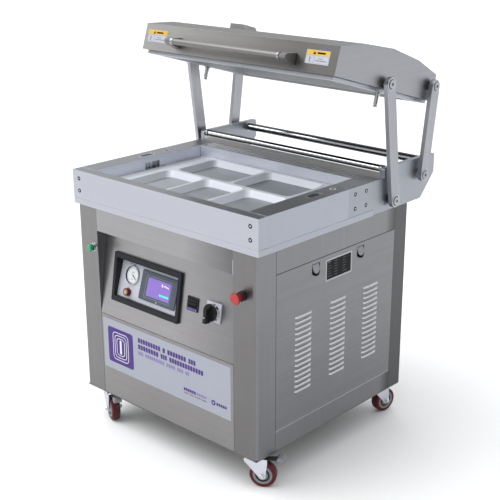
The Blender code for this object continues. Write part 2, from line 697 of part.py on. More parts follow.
def build_arms(machine, front_top, rear_top):
    """Arms are modelled about their fixed pivots: the empties stand on the joint axes."""
    front_axis = add_empty("front_arm_axis", machine, (0, *FRONT_PIVOT))
    rear_axis = add_empty("rear_arm_axis", machine, (0, *REAR_PIVOT))
    front_span = (front_top[0] - FRONT_PIVOT[0], front_top[1] - FRONT_PIVOT[1])
    rear_span = (rear_top[0] - REAR_PIVOT[0], rear_top[1] - REAR_PIVOT[1])
    wall = RIM_WIDTH / 2 + GAP
    pin_end = RIM_WIDTH / 2 - PLATE_THICK + 0.001
    lid_air = 0.0008                # the rear arms' upper pivots end this far from the lid
    for name, side in SIDES:
        arm = add_piece("front_arm_" + name, arm_bar((0, 0), front_span, side), "aluminium", front_axis)
        ends = [(side * (ARM_INNER - 0.01), PIN_RADIUS + GAP), (side * (ARM_OUTER + 0.01), PIN_RADIUS + GAP)]
        cut(arm, add_bodies(turned(ends, "X", 24), [turned(ends, "X", 24, front_span)]))

        arm = add_piece("rear_arm_" + name, arm_bar((0, 0), rear_span, side), "aluminium", rear_axis)
        lower = [(pin_end, PIN_RADIUS), (wall, PIN_RADIUS)] + pivot_steps(wall)
        join(arm, turned_pivot(lower, side))
        join(arm, turned_pivot(pivot_steps(LID_HALF + lid_air), side, rear_span))
    half = [(wall, PIN_RADIUS)] + pivot_steps(wall)
    add_piece("arm_shaft", turned(flipped(half) + half, "X", 24), "chrome", front_axis, smooth=True)


def build_lid(machine):
    front_top, rear_top = open_lid_pivots()
    build_arms(machine, front_top, rear_top)
    lid_axis = add_empty("lid_axis", machine, (0, *front_top), (-LID_TILT, 0, 0))
    lid = add_empty("lid_origin", lid_axis, (0, -LID_FRONT_PIVOT[0], -LID_FRONT_PIVOT[1]))
    build_cover(lid)
    build_lid_underside(lid)
    build_handle(lid)
    build_valve_box(lid)
    for name, side in SIDES:
        pivot = turned_pivot(pivot_steps(LID_HALF + GAP), side)
        add_piece("upper_pin_" + name, pivot, "chrome", lid_axis, smooth=True)


# ---------------------------------------------------------------- controls
PANEL_SLOPE = math.atan2(PANEL_RECESS, PANEL_TOP - PANEL_FOOT)
PANEL_LENGTH = math.hypot(PANEL_RECESS, PANEL_TOP - PANEL_FOOT)
BEZEL = (-0.2455, 0.0620, 0.0585, 0.2190)       # x from, x to, up the slope from, to
BEZEL_BORDER = (0.0135, 0.0185)                 # at its sides, at its top and foot
BEZEL_RISE = 0.008
PLATE_TILT = math.radians(8.0)                  # the instrument plate leans back more than the panel
PLATE_DEPTH = 0.003                             # its foot lies behind the panel's face
GAUGE_PLACE = (-0.1750, 0.0770)                 # places on the instrument plate, from its foot
GAUGE_RADIUS = 0.0305
POWER_PLACE = (-0.1820, 0.0205)
SCREEN = (-0.1303, 0.0320, 0.0142, 0.1075)
GLASS = (-0.1010, 0.0030, 0.0300, 0.0895)
CONTROLLER = (0.0898, 0.1367, 0.1140, 0.1580)   # places on the panel
CONTROLLER_RISE = 0.0025
SWITCH_PLACE = (0.2031, 0.1355)
SWITCH_HALF = 0.0293
SWITCH_RISE = 0.005
BOSS_RADIUS = 0.0262
BOSS_RISE = 0.0165
KNOB_RADIUS = 0.0268
STOP_PLACE = (0.3375, RIM_TOP - 0.2390)
START_PLACE = (-0.3140, RIM_TOP - 0.2425)


def build_control_panel(machine):
    """Everything on the sloped panel; in its frame x is across, z up the slope, -y outwards."""
    panel = add_empty("panel_origin", machine, (0, BODY_FRONT, PANEL_FOOT), (-PANEL_SLOPE, 0, 0))
    half = BODY_HALF - POST_WIDTH - GAP - 0.0005
    sheet = add_piece("control_panel", box(-half, half, 0.0, SHEET, 0.0006, PANEL_LENGTH - 0.0012),
                      "stainless", panel)
    x0, x1, z0, z1 = BEZEL
    across, along = BEZEL_BORDER
    window = (x0 + across, x1 - across, z0 + along, z1 - along)
    wall = 0.0025
    sleeve = (window[0] - wall, window[1] + wall, window[2] - wall, window[3] + wall)
    cut(sheet, box(sleeve[0] - GAP, sleeve[1] + GAP, -0.01, 0.01, sleeve[2] - GAP, sleeve[3] + GAP))
    cut(sheet, box(CONTROLLER[0] + 0.0015, CONTROLLER[1] - 0.0015, -0.01, 0.01,
                   CONTROLLER[2] + 0.0015, CONTROLLER[3] - 0.0015))
    cut(sheet, turned([(-0.01, 0.0050), (0.01, 0.0050)], "Y", 16, SWITCH_PLACE))

    outer = rounded_rectangle(x0, x1, z0, z1, 0.004, 2)
    face = rounded_rectangle(*window, 0.002, 2)
    back = rounded_rectangle(*sleeve, 0.002, 2)
    rings = ((outer, -GAP, False), (outer, -BEZEL_RISE, False), (face, -BEZEL_RISE, False),
             (face, PLATE_DEPTH - GAP, True), (back, PLATE_DEPTH - GAP, True), (back, -GAP, False))
    tilt = math.tan(PLATE_TILT)
    sections = [
        [Vector((x, y + (tilt * (z - window[2]) if leans else 0.0), z)) for x, z in ring]
        for ring, y, leans in rings
    ]
    add_piece("display_bezel", loft(sections, closed=True), "black_plastic", panel)
    build_instruments(panel, window, wall)

    body = prism(rounded_rectangle(*CONTROLLER, 0.002, 2), "Y", -CONTROLLER_RISE, -GAP)
    unit = add_piece("temperature_controller", body, "black_plastic", panel)
    join(unit, box(CONTROLLER[0] + 0.002, CONTROLLER[1] - 0.002, -0.001, 0.060,
                   CONTROLLER[2] + 0.002, CONTROLLER[3] - 0.002))
    build_switch(panel)


def build_instruments(panel, window, wall):
    """The leaning plate behind the bezel's window, with the gauge, the power button and the screen."""
    plane = add_empty("instrument_origin", panel, (0, PLATE_DEPTH, window[2]), (-PLATE_TILT, 0, 0))
    length = (window[3] - window[2]) / math.cos(PLATE_TILT)
    plate = add_piece("instrument_plate",
                      box(window[0] - wall, window[1] + wall, 0.0, SHEET, -wall + GAP, length + wall - GAP),
                      "white_plate", plane)
    margin = 0.004
    holes = [turned([(-0.01, 0.0112), (0.02, 0.0112)], "Y", 24, POWER_PLACE),
             turned([(-0.01, 0.0128), (0.02, 0.0128)], "Y", 24, GAUGE_PLACE),
             box(SCREEN[0] + margin, SCREEN[1] - margin, -0.01, 0.02, SCREEN[2] + margin, SCREEN[3] - margin)]
    cut(plate, add_bodies(holes[0], holes[1:]))

    rise, rim = 0.0045, 0.0030
    gauge = [(0.026, 0.0105), (0.024, 0.0124), (-GAP, 0.0124), (-GAP, GAUGE_RADIUS),
             (-rise + 0.001, GAUGE_RADIUS), (-rise, GAUGE_RADIUS - 0.001), (-rise, GAUGE_RADIUS - rim),
             (-rise + 0.003, GAUGE_RADIUS - rim)]
    add_piece("vacuum_gauge", turned(gauge, "Y", 40, GAUGE_PLACE), "white_plate", plane, smooth=True)
    lens = [(0.014, 0.0105), (-0.0030, 0.0105), (-0.0030, 0.0124), (-0.0125, 0.0122), (-0.0138, 0.0110),
            (-0.0142, 0.0070)]
    add_piece("power_button", turned(lens, "Y", 24), "orange_lens", plane,
              (POWER_PLACE[0], 0, POWER_PLACE[1]), smooth=True)

    thick, recess = 0.0040, 0.0010      # the glass lies a little below the housing's face
    housing = prism(rounded_rectangle(*SCREEN, 0.004, 3), "Y", -GAP - thick, -GAP)
    screen = add_piece("touch_screen", housing, "slate_plastic", plane)
    tuck = margin + 0.0005
    join(screen, box(SCREEN[0] + tuck, SCREEN[1] - tuck, -0.002, 0.035, SCREEN[2] + tuck, SCREEN[3] - tuck))
    cut(screen, box(GLASS[0], GLASS[1], -0.010, -GAP - thick + recess, GLASS[2], GLASS[3]))


def build_switch(panel):
    """Rotary main switch: square plate with a round boss, black disc and grip in front of it."""
    x, z = SWITCH_PLACE
    outline = rounded_rectangle(x - SWITCH_HALF, x + SWITCH_HALF, z - SWITCH_HALF, z + SWITCH_HALF, 0.002, 2)
    plate = add_piece("switch_plate", prism(outline, "Y", -SWITCH_RISE, -GAP), "white_plate", panel)
    join(plate, turned([(-0.002, BOSS_RADIUS), (-BOSS_RISE, BOSS_RADIUS)], "Y", 40, SWITCH_PLACE))
    cut(plate, turned([(-0.03, 0.0050), (0.01, 0.0050)], "Y", 16, SWITCH_PLACE))
    seat = -BOSS_RISE - GAP
    front = seat - 0.0058
    profile = [(0.022, 0.0042), (seat, 0.0042), (seat, KNOB_RADIUS - 0.0006), (seat - 0.0006, KNOB_RADIUS),
               (front + 0.0018, KNOB_RADIUS), (front, KNOB_RADIUS - 0.0018)]
    knob = add_piece("switch_knob", turned(profile, "Y", 40), "black_plastic", panel, (x, 0, z), smooth=True)
    half, crown, foot = 0.0056, front - 0.0195, front + 0.002
    side_view = [(foot, -0.0300), (crown, -0.0300), (crown, 0.0125), (foot, 0.0235)]
    grip = loft([[Vector((across, y, up)) for y, up in side_view] for across in (-half, half)])
    join(knob, grip)


def build_push_buttons(machine):
    """Emergency stop on the right post, start button on the left post."""
    face = BODY_FRONT - GAP
    x, z = STOP_PLACE
    ring = [(face, 0.0150), (face - 0.0100, 0.0150), (face - 0.0115, 0.0138), (face - 0.0115, 0.0105),
            (face, 0.0105)]
    collar = turned(ring, "Y", 32, STOP_PLACE, hollow=True)
    add_piece("stop_ring", collar, "black_plastic", machine, smooth=True)
    head = [(face + 0.016, 0.0098), (face - 0.0200, 0.0098), (face - 0.0225, 0.0128), (face - 0.0300, 0.0178),
            (face - 0.0338, 0.0180), (face - 0.0352, 0.0168), (face - 0.0360, 0.0080)]
    add_piece("stop_button", turned(head, "Y", 32), "red_plastic", machine, (x, 0, z), smooth=True)
    x, z = START_PLACE
    cap = [(face + 0.018, 0.0070), (face - 0.0155, 0.0070), (face - 0.0155, 0.0108), (face - 0.0165, 0.0114),
           (face - 0.0240, 0.0114), (face - 0.0256, 0.0098), (face - 0.0260, 0.0050)]
    add_piece("start_button", turned(cap, "Y", 32), "green_plastic", machine, (x, 0, z), smooth=True)


# ---------------------------------------------------------------- casters
def caster_places():
    """Swivel axis of each caster in plan."""
    across = BODY_HALF - CASTER_INSET[0]
    front, rear = BODY_FRONT + CASTER_INSET[1], BODY_BACK - CASTER_INSET[1]
    return {"front_left": (-across, front), "front_right": (across, front),
            "rear_left": (-across, rear), "rear_right": (across, rear)}


CHEEK = WHEEL_WIDTH / 2 + 0.0035                # inner face of the fork's legs
LEG = 0.0025
FORK_TOP = -0.016
PEDAL_HINGE = (0.0410, 0.0, -0.0230)


def fork_side_view(axle_z, reach):
    """Fork seen along the wheel's axle; x points to the trailing side."""
    boss = 0.011
    points = [(-0.024, FORK_TOP + 0.01), (-0.024, FORK_TOP - 0.010)]
    for i in range(7):
        angle = math.radians(205 + 130 * i / 6)
        points.append((CASTER_TRAIL + boss * math.cos(angle), axle_z + boss * math.sin(angle)))
    return points + [(reach, FORK_TOP - 0.014), (reach, FORK_TOP + 0.01)]


def build_fork(name, swivel, axle_z, braked):
    """Folded fork with its swivel housing and axle bolt; the swivel plate's top is at z = 0."""
    outer, foot, web = CHEEK + LEG, axle_z - 0.02, 0.003
    section = [(-outer, foot), (-outer, FORK_TOP), (outer, FORK_TOP), (outer, foot), (CHEEK, foot),
               (CHEEK, FORK_TOP - web), (-CHEEK, FORK_TOP - web), (-CHEEK, foot)]
    fork = add_piece(name + "_fork", prism(section, "X", -0.04, 0.06), "zinc", swivel)
    reach = 0.047 if braked else 0.040
    combine(fork, prism(fork_side_view(axle_z, reach), "Y", -0.04, 0.04), "INTERSECT")
    if braked:                      # room between the ears for the pedal's root
        cut(fork, box(0.0325, 0.06, -CHEEK, CHEEK, FORK_TOP - 0.02, FORK_TOP + 0.01))
    housing = [(FORK_TOP - 0.001, 0.022), (FORK_TOP + 0.006, 0.0255), (-0.0035, 0.0255), (-0.0010, 0.021),
               (-0.0010, 0.0057), (0.010, 0.0057)]
    join(fork, turned(housing, "Z", 32))
    head, shank, sunk = 0.0062, 0.0040, 0.001
    half = [(outer - sunk, shank), (outer - sunk, head), (outer + 0.0005, head),
            (outer + 0.004, head - 0.001)]
    join(fork, turned(flipped(half) + half, "Y", 16, (CASTER_TRAIL, axle_z)))


def build_wheel(name, axle):
    half = WHEEL_WIDTH / 2
    bore, hub, rim = 0.0045, 0.0115, 0.0300
    profile = [(-half - 0.0015, bore), (-half - 0.0015, hub), (-half + 0.005, hub + 0.0015),
               (-half + 0.005, rim - 0.002), (-half, rim), (-half, WHEEL_RADIUS - 0.004),
               (-half + 0.004, WHEEL_RADIUS)]
    wheel = turned(profile + flipped(profile), "Y", 28, hollow=True)
    add_piece(name + "_wheel", wheel, "polyurethane", axle, smooth=True)


def build_pedal(name, hinge):
    """Brake pedal: barrel and pad between the fork's ears, strap and round tip reaching outwards."""
    barrel = turned([(-CHEEK + 0.0006, 0.0035), (CHEEK - 0.0006, 0.0035)], "Y", 16)
    pedal = add_piece(name + "_brake_pedal", barrel, "black_plastic", hinge)
    strap = [(0.0, -0.0020), (0.036, 0.0020), (0.036, 0.0070), (0.0, 0.0025)]
    join(pedal, prism(strap, "Y", -0.0105, 0.0105))
    join(pedal, box(-0.0065, 0.004, -0.011, 0.011, -0.0055, -0.001))
    join(pedal, prism(rounded_rectangle(0.033, 0.058, -0.0045, 0.0135, 0.007, 3), "Y", -0.0125, 0.0125))


def build_casters(machine):
    axle_z = WHEEL_RADIUS - BODY_BOTTOM
    for name, place in caster_places().items():
        heading = math.radians(CASTER_HEADINGS[name])
        swivel = add_empty(name + "_swivel", machine, (*place, BODY_BOTTOM), (0, 0, heading))
        braked = name.startswith("front")
        build_fork(name, swivel, axle_z, braked)
        build_wheel(name, add_empty(name + "_axle", swivel, (CASTER_TRAIL, 0, axle_z)))
        if braked:
            build_pedal(name, add_empty(name + "_pedal_hinge", swivel, PEDAL_HINGE))


# ---------------------------------------------------------------- whole machine
def build_machine():
    clear_scene()
    machine = add_empty("machine", None, (0, -FRONT_TO_CENTRE, 0))
    build_cabinet(machine)
    build_inside(machine)
    build_rim(machine)
    build_mold(machine)
    build_film_carrier(machine)
    build_lid(machine)
    build_control_panel(machine)
    build_push_buttons(machine)
    build_casters(machine)


build_machine()
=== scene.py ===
"""Studio look of the tray vacuum packing machine.

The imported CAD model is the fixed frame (metres, +Z up, operator on the -Y side).  Its nodes get their
finishes here; fasteners, labels, instruments and wheels are modelled around them.
"""
import json
import math

import bmesh
import bpy
from mathutils import Matrix, Vector


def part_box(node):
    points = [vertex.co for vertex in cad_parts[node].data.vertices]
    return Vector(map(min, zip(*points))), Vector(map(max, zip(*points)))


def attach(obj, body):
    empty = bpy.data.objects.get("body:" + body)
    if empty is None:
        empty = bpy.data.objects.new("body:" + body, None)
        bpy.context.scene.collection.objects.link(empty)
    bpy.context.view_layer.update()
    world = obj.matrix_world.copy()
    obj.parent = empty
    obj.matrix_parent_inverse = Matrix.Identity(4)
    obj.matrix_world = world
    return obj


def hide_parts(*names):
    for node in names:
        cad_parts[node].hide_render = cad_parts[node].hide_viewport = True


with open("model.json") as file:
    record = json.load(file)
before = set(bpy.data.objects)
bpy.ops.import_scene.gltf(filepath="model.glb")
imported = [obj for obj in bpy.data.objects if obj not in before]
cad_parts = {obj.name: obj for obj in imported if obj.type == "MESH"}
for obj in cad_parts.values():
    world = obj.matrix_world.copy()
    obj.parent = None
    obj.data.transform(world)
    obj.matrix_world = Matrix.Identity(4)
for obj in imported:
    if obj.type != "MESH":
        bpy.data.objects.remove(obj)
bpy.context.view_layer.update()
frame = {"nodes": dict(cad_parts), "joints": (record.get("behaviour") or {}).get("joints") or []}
nodes = frame["nodes"]
joints = {joint["name"]: joint for joint in frame["joints"]}

# ---------------- places taken from the frame
rim_low, rim_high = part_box("rim_front_bar")
FRONT = rim_low.y  # front face of the chamber rim
TOP = rim_high.z  # top face of the chamber rim
HALF = rim_high.x  # half width of the rim
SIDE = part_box("louver_panel_right")[1].x  # outer face of the cabinet's sides
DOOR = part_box("front_door")[0].y  # front face of the cabinet
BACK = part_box("back_panel")[1].y  # rear face of the cabinet
FLOOR_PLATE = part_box("floor_plate")[0].z

PANEL_FOOT = TOP - 0.4655  # lower edge of the sloped control panel
PANEL_SLOPE = math.atan2(0.0446, 0.2798)
PLATE_TILT = math.radians(8.0)  # the instrument plate leans back more than the panel
LID_TILT = math.radians(16.0)
LID_PIVOT_OFFSET = (0.2482, 0.0168)  # front upper pivot in the lid's own frame
LID_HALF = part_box("lid_cover")[1].x
LID_LEAN = math.atan2(0.0034, 0.085)  # the lid's front face leans back
ARM_WIDTH = 0.0417


def middle(node):
    low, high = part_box(node)
    return (low + high) / 2


def to_space(right, up, origin):
    """Local x goes right, y goes up and z stands out of a face."""
    right, up = Vector(right).normalized(), Vector(up).normalized()
    out = right.cross(up)
    columns = Matrix((right, up, out)).transposed().to_4x4()
    return Matrix.Translation(Vector(origin)) @ columns


X, Y, Z = Vector((1, 0, 0)), Vector((0, 1, 0)), Vector((0, 0, 1))
MIRROR = Matrix.Scale(-1, 4, X)
AS_IS = Matrix.Identity(4)
RIM_FRONT = to_space(X, Z, (0, FRONT, TOP))
RIM_SIDE = to_space(Y, Z, (HALF, FRONT, TOP))
RIM_TOP = to_space(X, Y, (0, FRONT, TOP))
CABINET_FRONT = to_space(X, Z, (0, DOOR, TOP))
CABINET_SIDE = to_space(Y, Z, (SIDE, FRONT, TOP))
CABINET_BACK = to_space(-X, Z, (0, BACK, TOP))
PANEL = to_space(X, (0, math.sin(PANEL_SLOPE), math.cos(PANEL_SLOPE)), (0, DOOR, PANEL_FOOT))
INSTRUMENTS = to_space(X, (0, math.sin(PANEL_SLOPE + PLATE_TILT), math.cos(PANEL_SLOPE + PLATE_TILT)),
                       PANEL @ Vector((0, 0.0770, -0.0030)))

lid_pivot = middle("upper_pin_right")
lid_turn = Matrix.Rotation(-LID_TILT, 4, "X")
lid_corner = Vector((0, lid_pivot.y, lid_pivot.z)) - lid_turn @ Vector((0, *LID_PIVOT_OFFSET))
LID = Matrix.Translation(lid_corner) @ lid_turn
LID_FACE = LID @ to_space(X, (0, math.sin(LID_LEAN), math.cos(LID_LEAN)), (0, 0, 0))


# ---------------- shader helpers
def add_node(tree, kind, inputs=None, **settings):
    made = tree.nodes.new("ShaderNode" + kind)
    for key, value in settings.items():
        setattr(made, key, value)
    set_inputs(tree, made, inputs or {})
    return made


def maths(tree, operation, *values):
    return add_node(tree, "Math", dict(enumerate(values)), operation=operation).outputs[0]


def noise(tree, place, scale, detail=3.0, roughness=0.6):
    inputs = {"Vector": place, "Scale": scale, "Detail": detail, "Roughness": roughness}
    return add_node(tree, "TexNoise", inputs).outputs[0]


def spread(tree, value, low, high):
    """Maps 0..1 to low..high."""
    return maths(tree, "MULTIPLY_ADD", value, high - low, low)


def remap(tree, value, start, end, low=0.0, high=1.0):
    """Maps start..end to low..high and holds the ends."""
    inputs = {"Value": value, "From Min": start, "From Max": end, "To Min": low, "To Max": high}
    return add_node(tree, "MapRange", inputs).outputs[0]


def part_of(tree, vector, axis):
    return add_node(tree, "SeparateXYZ", {0: vector}).outputs[axis]


def mixed(tree, kind, factor, a, b):
    first, out = {"FLOAT": (2, 0), "VECTOR": (4, 1), "RGBA": (6, 2)}[kind]
    made = add_node(tree, "Mix", {0: factor, first: a, first + 1: b}, data_type=kind)
    return made.outputs[out]


def toned(tree, colour, tone):
    return add_node(tree, "VectorMath", {0: colour, "Scale": tone}, operation="SCALE").outputs[0]


def blank(name):
    material = bpy.data.materials.new(name)
    material.use_nodes = True
    tree = material.node_tree
    return material, tree, tree.nodes["Principled BSDF"]


def set_inputs(tree, shader, values):
    for name, value in values.items():
        if isinstance(value, bpy.types.NodeSocket):
            tree.links.new(value, shader.inputs[name])
        else:
            shader.inputs[name].default_value = value


ALONG, ACROSS, EVEN = 2.2, 330, 260  # scale of the brushed grain
GRAIN = {"X": (ALONG, ACROSS, ACROSS), "Y": (ACROSS, ALONG, ACROSS), "Z": (ACROSS, ACROSS, ALONG),
         "": (EVEN, EVEN, EVEN)}
FACING = 0.6  # a face looks along an axis past this share of its normal


def metal(name, colour, roughness, grain="X", streak=0.16, cloud=0.10, bump=0.10, edge=0.35, top=None,
          side=None, cheek=None, shade_fade=None, reflection_bands=0.0, metallic=1.0):
    """Brushed or plain metal: fine grain, broad smudges and rubbed edges.

    Grain "XY" runs along X, and along Y on faces that look sideways.  top is the colour and
    roughness of faces that look up, side the colour of faces that look sideways, and cheek the
    colour of faces that look to the right: lit and shaded copies of one metal, painted light and
    shade.  fade is (axis, from, to, tone): painted shade, the sheet darkens along Y on its faces
    that look sideways, or along X on its other faces.  reflection_bands is how dark the painted
    reflection on the upper side of a polished roller is; below it come a painted light line and a
    dark one.
    """
    material, tree, shader = blank(name)
    place = add_node(tree, "TexCoord").outputs["Object"]
    geometry = add_node(tree, "NewGeometry").outputs
    parts = add_node(tree, "SeparateXYZ", {0: geometry["True Normal"]}).outputs
    sideways = maths(tree, "GREATER_THAN", maths(tree, "ABSOLUTE", parts[0]), FACING)
    if grain == "XY":
        scale = mixed(tree, "VECTOR", sideways, GRAIN["X"], GRAIN["Y"])
    else:
        scale = GRAIN[grain]
    drawn = add_node(tree, "Mapping", {"Vector": place, "Scale": scale}).outputs[0]
    fine = noise(tree, drawn, 1.0, 3.0, 0.75)
    bands = noise(tree, drawn, 0.16, 2.0, 0.5)
    broad = noise(tree, place, 3.6, 5.0, 0.62)
    scuffs = noise(tree, place, 34.0, 4.0, 0.7)
    grainy = mixed(tree, "FLOAT", 0.4, fine, bands)
    tone = maths(tree, "ADD", spread(tree, grainy, 1 - streak, 1 + streak),
                 spread(tree, broad, -cloud, cloud))
    gloss = maths(tree, "ADD", spread(tree, grainy, roughness - 0.07, roughness + 0.07),
                  spread(tree, mixed(tree, "FLOAT", 0.5, broad, scuffs), -0.10, 0.10))
    base = toned(tree, colour, tone)
    # painted light and shade: faces that look sideways take another colour
    if side:
        base = mixed(tree, "RGBA", sideways, base, toned(tree, side, tone))
    # painted light and shade: faces that look to the right take another colour
    if cheek:
        to_right = maths(tree, "GREATER_THAN", parts[0], FACING)
        base = mixed(tree, "RGBA", to_right, base, toned(tree, cheek, tone))
    # painted shade: the sheet darkens along one axis
    if shade_fade:
        axis, start, end, low = shade_fade
        darker = remap(tree, part_of(tree, geometry["Position"], axis), start, end, 1.0, low)
        ends = (darker, 1.0) if axis == 0 else (1.0, darker)
        base = toned(tree, base, mixed(tree, "FLOAT", sideways, *ends))
    # painted reflection: a dark upper side, then a light line and a dark one, set by the normal's rise
    if reflection_bands:
        rise = part_of(tree, geometry["Normal"], 2)
        base = toned(tree, base, remap(tree, rise, 0.50, 0.66, 1.0, 1 - reflection_bands))
        base = toned(tree, base, remap(tree, rise, -0.15, 0.08, 0.15, 1.3))
    # painted light and shade: faces that look up take another colour
    if top:
        upward = maths(tree, "GREATER_THAN", parts[2], FACING)
        base = mixed(tree, "RGBA", upward, base, toned(tree, top[0], tone))
        gloss = maths(tree, "ADD", gloss, maths(tree, "MULTIPLY", upward, top[1] - roughness))
    if edge:
        soft = add_node(tree, "Bevel", {"Radius": 0.0016}, samples=4).outputs[0]
        flatness = add_node(tree, "VectorMath", {0: soft, 1: geometry["Normal"]},
                            operation="DOT_PRODUCT").outputs["Value"]
        worn = maths(tree, "MULTIPLY", remap(tree, flatness, 0.995, 0.90),
                     spread(tree, scuffs, 0.1, 1.5 * edge))
        rubbed = toned(tree, [min(1.0, 1.5 * channel) for channel in colour], 1.0)
        base = mixed(tree, "RGBA", maths(tree, "MINIMUM", worn, 1.0), base, rubbed)
    raised = add_node(tree, "Bump", {"Strength": bump, "Distance": 0.0004, "Height": grainy}).outputs[0]
    set_inputs(tree, shader, {"Base Color": base, "Roughness": gloss, "Normal": raised,
                              "Metallic": metallic})
    return material


def plastic(name, colour, roughness, grain=900.0, bump=0.10, speck=0.10, cloud=0.10, dust=0.0, coat=0.0,
            glow=0.0, specular=0.5, face=None):
    """Moulded plastic, rubber, paint or print: fine texture, uneven tone, and dust that dulls it.

    face is another colour for what looks to the operator, so that these faces and the rest are lit and
    shaded copies of one colour: painted light and shade.
    """
    material, tree, shader = blank(name)
    place = add_node(tree, "TexCoord").outputs["Object"]
    fine = noise(tree, place, grain, 2.0, 0.6)
    broad = noise(tree, place, 22.0, 4.0, 0.6)
    tone = maths(tree, "ADD", spread(tree, fine, 1 - speck, 1 + speck), spread(tree, broad, -cloud, cloud))
    base = toned(tree, colour, tone)
    # painted light and shade: faces that look to the operator take the face colour
    if face:
        ahead = part_of(tree, add_node(tree, "NewGeometry").outputs["Normal"], 1)
        base = mixed(tree, "RGBA", maths(tree, "LESS_THAN", ahead, -0.9), base, toned(tree, face, tone))
    if dust:
        settled = remap(tree, noise(tree, place, 60.0, 5.0, 0.7), 0.45, 0.8, 0.0, dust)
        base = mixed(tree, "RGBA", settled, base, (0.42, 0.40, 0.38, 1.0))
    raised = add_node(tree, "Bump", {"Strength": bump, "Distance": 0.0003, "Height": fine}).outputs[0]
    gloss = spread(tree, broad, roughness - 0.08, roughness + 0.08)
    set_inputs(tree, shader, {"Base Color": base, "Roughness": gloss, "Normal": raised, "Coat Weight": coat,
                              "Specular IOR Level": specular})
    if glow:
        set_inputs(tree, shader, {"Emission Color": (*colour, 1.0), "Emission Strength": glow})
    return material


# ---------------- finishes
STEEL = (0.275, 0.266, 0.267)
# Painted shade: a darker copy of the steel for faces and sheets that look sideways.
SHADED_SIDE_STEEL = (0.215, 0.217, 0.224)
# Painted shade: the right post is a darker copy of the left one, its sideways faces darken towards the back,
# and the left post's face that looks right is painted dark.
post_steel = metal("stainless_right_post", (0.187, 0.181, 0.182), 0.36, "Z", side=SHADED_SIDE_STEEL,
                   shade_fade=(1, 0.20, 0.24, 0.46))
left_post_steel = metal("stainless_left_post", (0.226, 0.219, 0.220), 0.36, "Z", side=SHADED_SIDE_STEEL,
                        cheek=(0.16, 0.16, 0.165), cloud=0.12)
# Painted shade: the control panel and the top band darken towards the right.
panel_steel = metal("stainless_panel", (0.335, 0.325, 0.33), 0.36, "X", cloud=0.06,
                    shade_fade=(0, 0.04, 0.31, 0.64))
band_steel = metal("stainless_band", (0.32, 0.312, 0.318), 0.34, "X", cloud=0.06, shade_fade=(0, 0.10, 0.30, 0.45))
front_steel = metal("stainless_front", STEEL, 0.34, "X", cloud=0.14)
# Painted shade: the side and back sheets take the darker sideways copy of the steel.
side_steel = metal("stainless_side", SHADED_SIDE_STEEL, 0.34, "Y", streak=0.22, cloud=0.14)
# Painted highlight: the louver hoods are a much lighter copy of the side steel.
hood_steel_lit = metal("stainless_louvers_lit", (0.60, 0.61, 0.64), 0.24, "Y", edge=0.2)
# Painted light and shade: the lid's upward faces are a darker copy, its sideways faces another tone, and it
# darkens towards the right.
lid_steel = metal("stainless_lid", (0.400, 0.390, 0.380), 0.40, "XY", edge=0.5,
                  top=((0.21, 0.206, 0.204), 0.40), side=(0.325, 0.33, 0.35), shade_fade=(0, -0.40, 0.26, 0.40))
handle_steel = metal("stainless_handle", (0.225, 0.218, 0.214), 0.50, "X", edge=0.2)
dark_steel = metal("stainless_shadowed", (0.20, 0.195, 0.19), 0.45, "X")
film_steel = metal("stainless_film_plate", (0.46, 0.45, 0.435), 0.30, "X")
# Painted light and shade: the bars' upward faces are a darker copy (painted reflection) and their sideways
# faces a darker copy; the left bar's face that looks right and the rear bar's faces are lighter copies,
# painted light on the chamber's walls.
rim_faces = {"bump": 0.05, "top": ((0.30, 0.305, 0.32), 0.36), "side": (0.385, 0.405, 0.455)}
rim_aluminium = metal("aluminium_rim", (0.48, 0.49, 0.54), 0.46, "XY", 0.07, 0.06, **rim_faces)
left_bar_aluminium = metal("aluminium_rim_left", (0.48, 0.49, 0.54), 0.46, "XY", 0.07, 0.06,
                           cheek=(0.80, 0.82, 0.89), **rim_faces)
rear_bar_aluminium_lit = metal("aluminium_rim_rear", (0.84, 0.86, 0.92), 0.50, "XY", 0.06, 0.05, **rim_faces)
plate_aluminium = metal("aluminium_plates", (0.35, 0.365, 0.40), 0.46, "XY", streak=0.06, cloud=0.06)
arm_aluminium = metal("aluminium_arms", (0.345, 0.350, 0.375), 0.36, "Z", streak=0.32, cloud=0.14)
# Painted light: the mould's walls are a lighter copy of its upward faces.
mold_aluminium = metal("aluminium_mold", (0.62, 0.64, 0.69), 0.55, "", streak=0.04, cloud=0.04, bump=0.06,
                       top=((0.55, 0.57, 0.61), 0.55), metallic=0.35)
floor_steel = metal("blasted_floor", (0.40, 0.415, 0.445), 0.60, "", streak=0.20, bump=0.25, edge=0)
lid_aluminium = metal("aluminium_lid_frame", (0.40, 0.42, 0.46), 0.42, "XY", streak=0.08)
chrome = metal("hard_chrome", (0.55, 0.55, 0.56), 0.10, "", streak=0.04, cloud=0.05, bump=0.02, edge=0)
# Painted reflection: the rollers carry dark and light bands set by which way their surface looks.
roller_chrome = metal("roller_chrome", (0.52, 0.52, 0.54), 0.12, "", streak=0.04, cloud=0.05, bump=0.02,
                      edge=0, reflection_bands=0.94)
zinc = metal("zinc_plate", (0.66, 0.68, 0.74), 0.34, "", streak=0.14, cloud=0.16)
screw_steel = metal("screw_steel", (0.28, 0.29, 0.31), 0.28, "", streak=0.10, edge=0)
disc_steel = metal("disc_steel", (0.42, 0.425, 0.44), 0.30, "", streak=0.12, cloud=0.12)
bolt_steel = metal("bolt_steel", (0.55, 0.56, 0.60), 0.30, "", streak=0.08, cloud=0.08, edge=0)
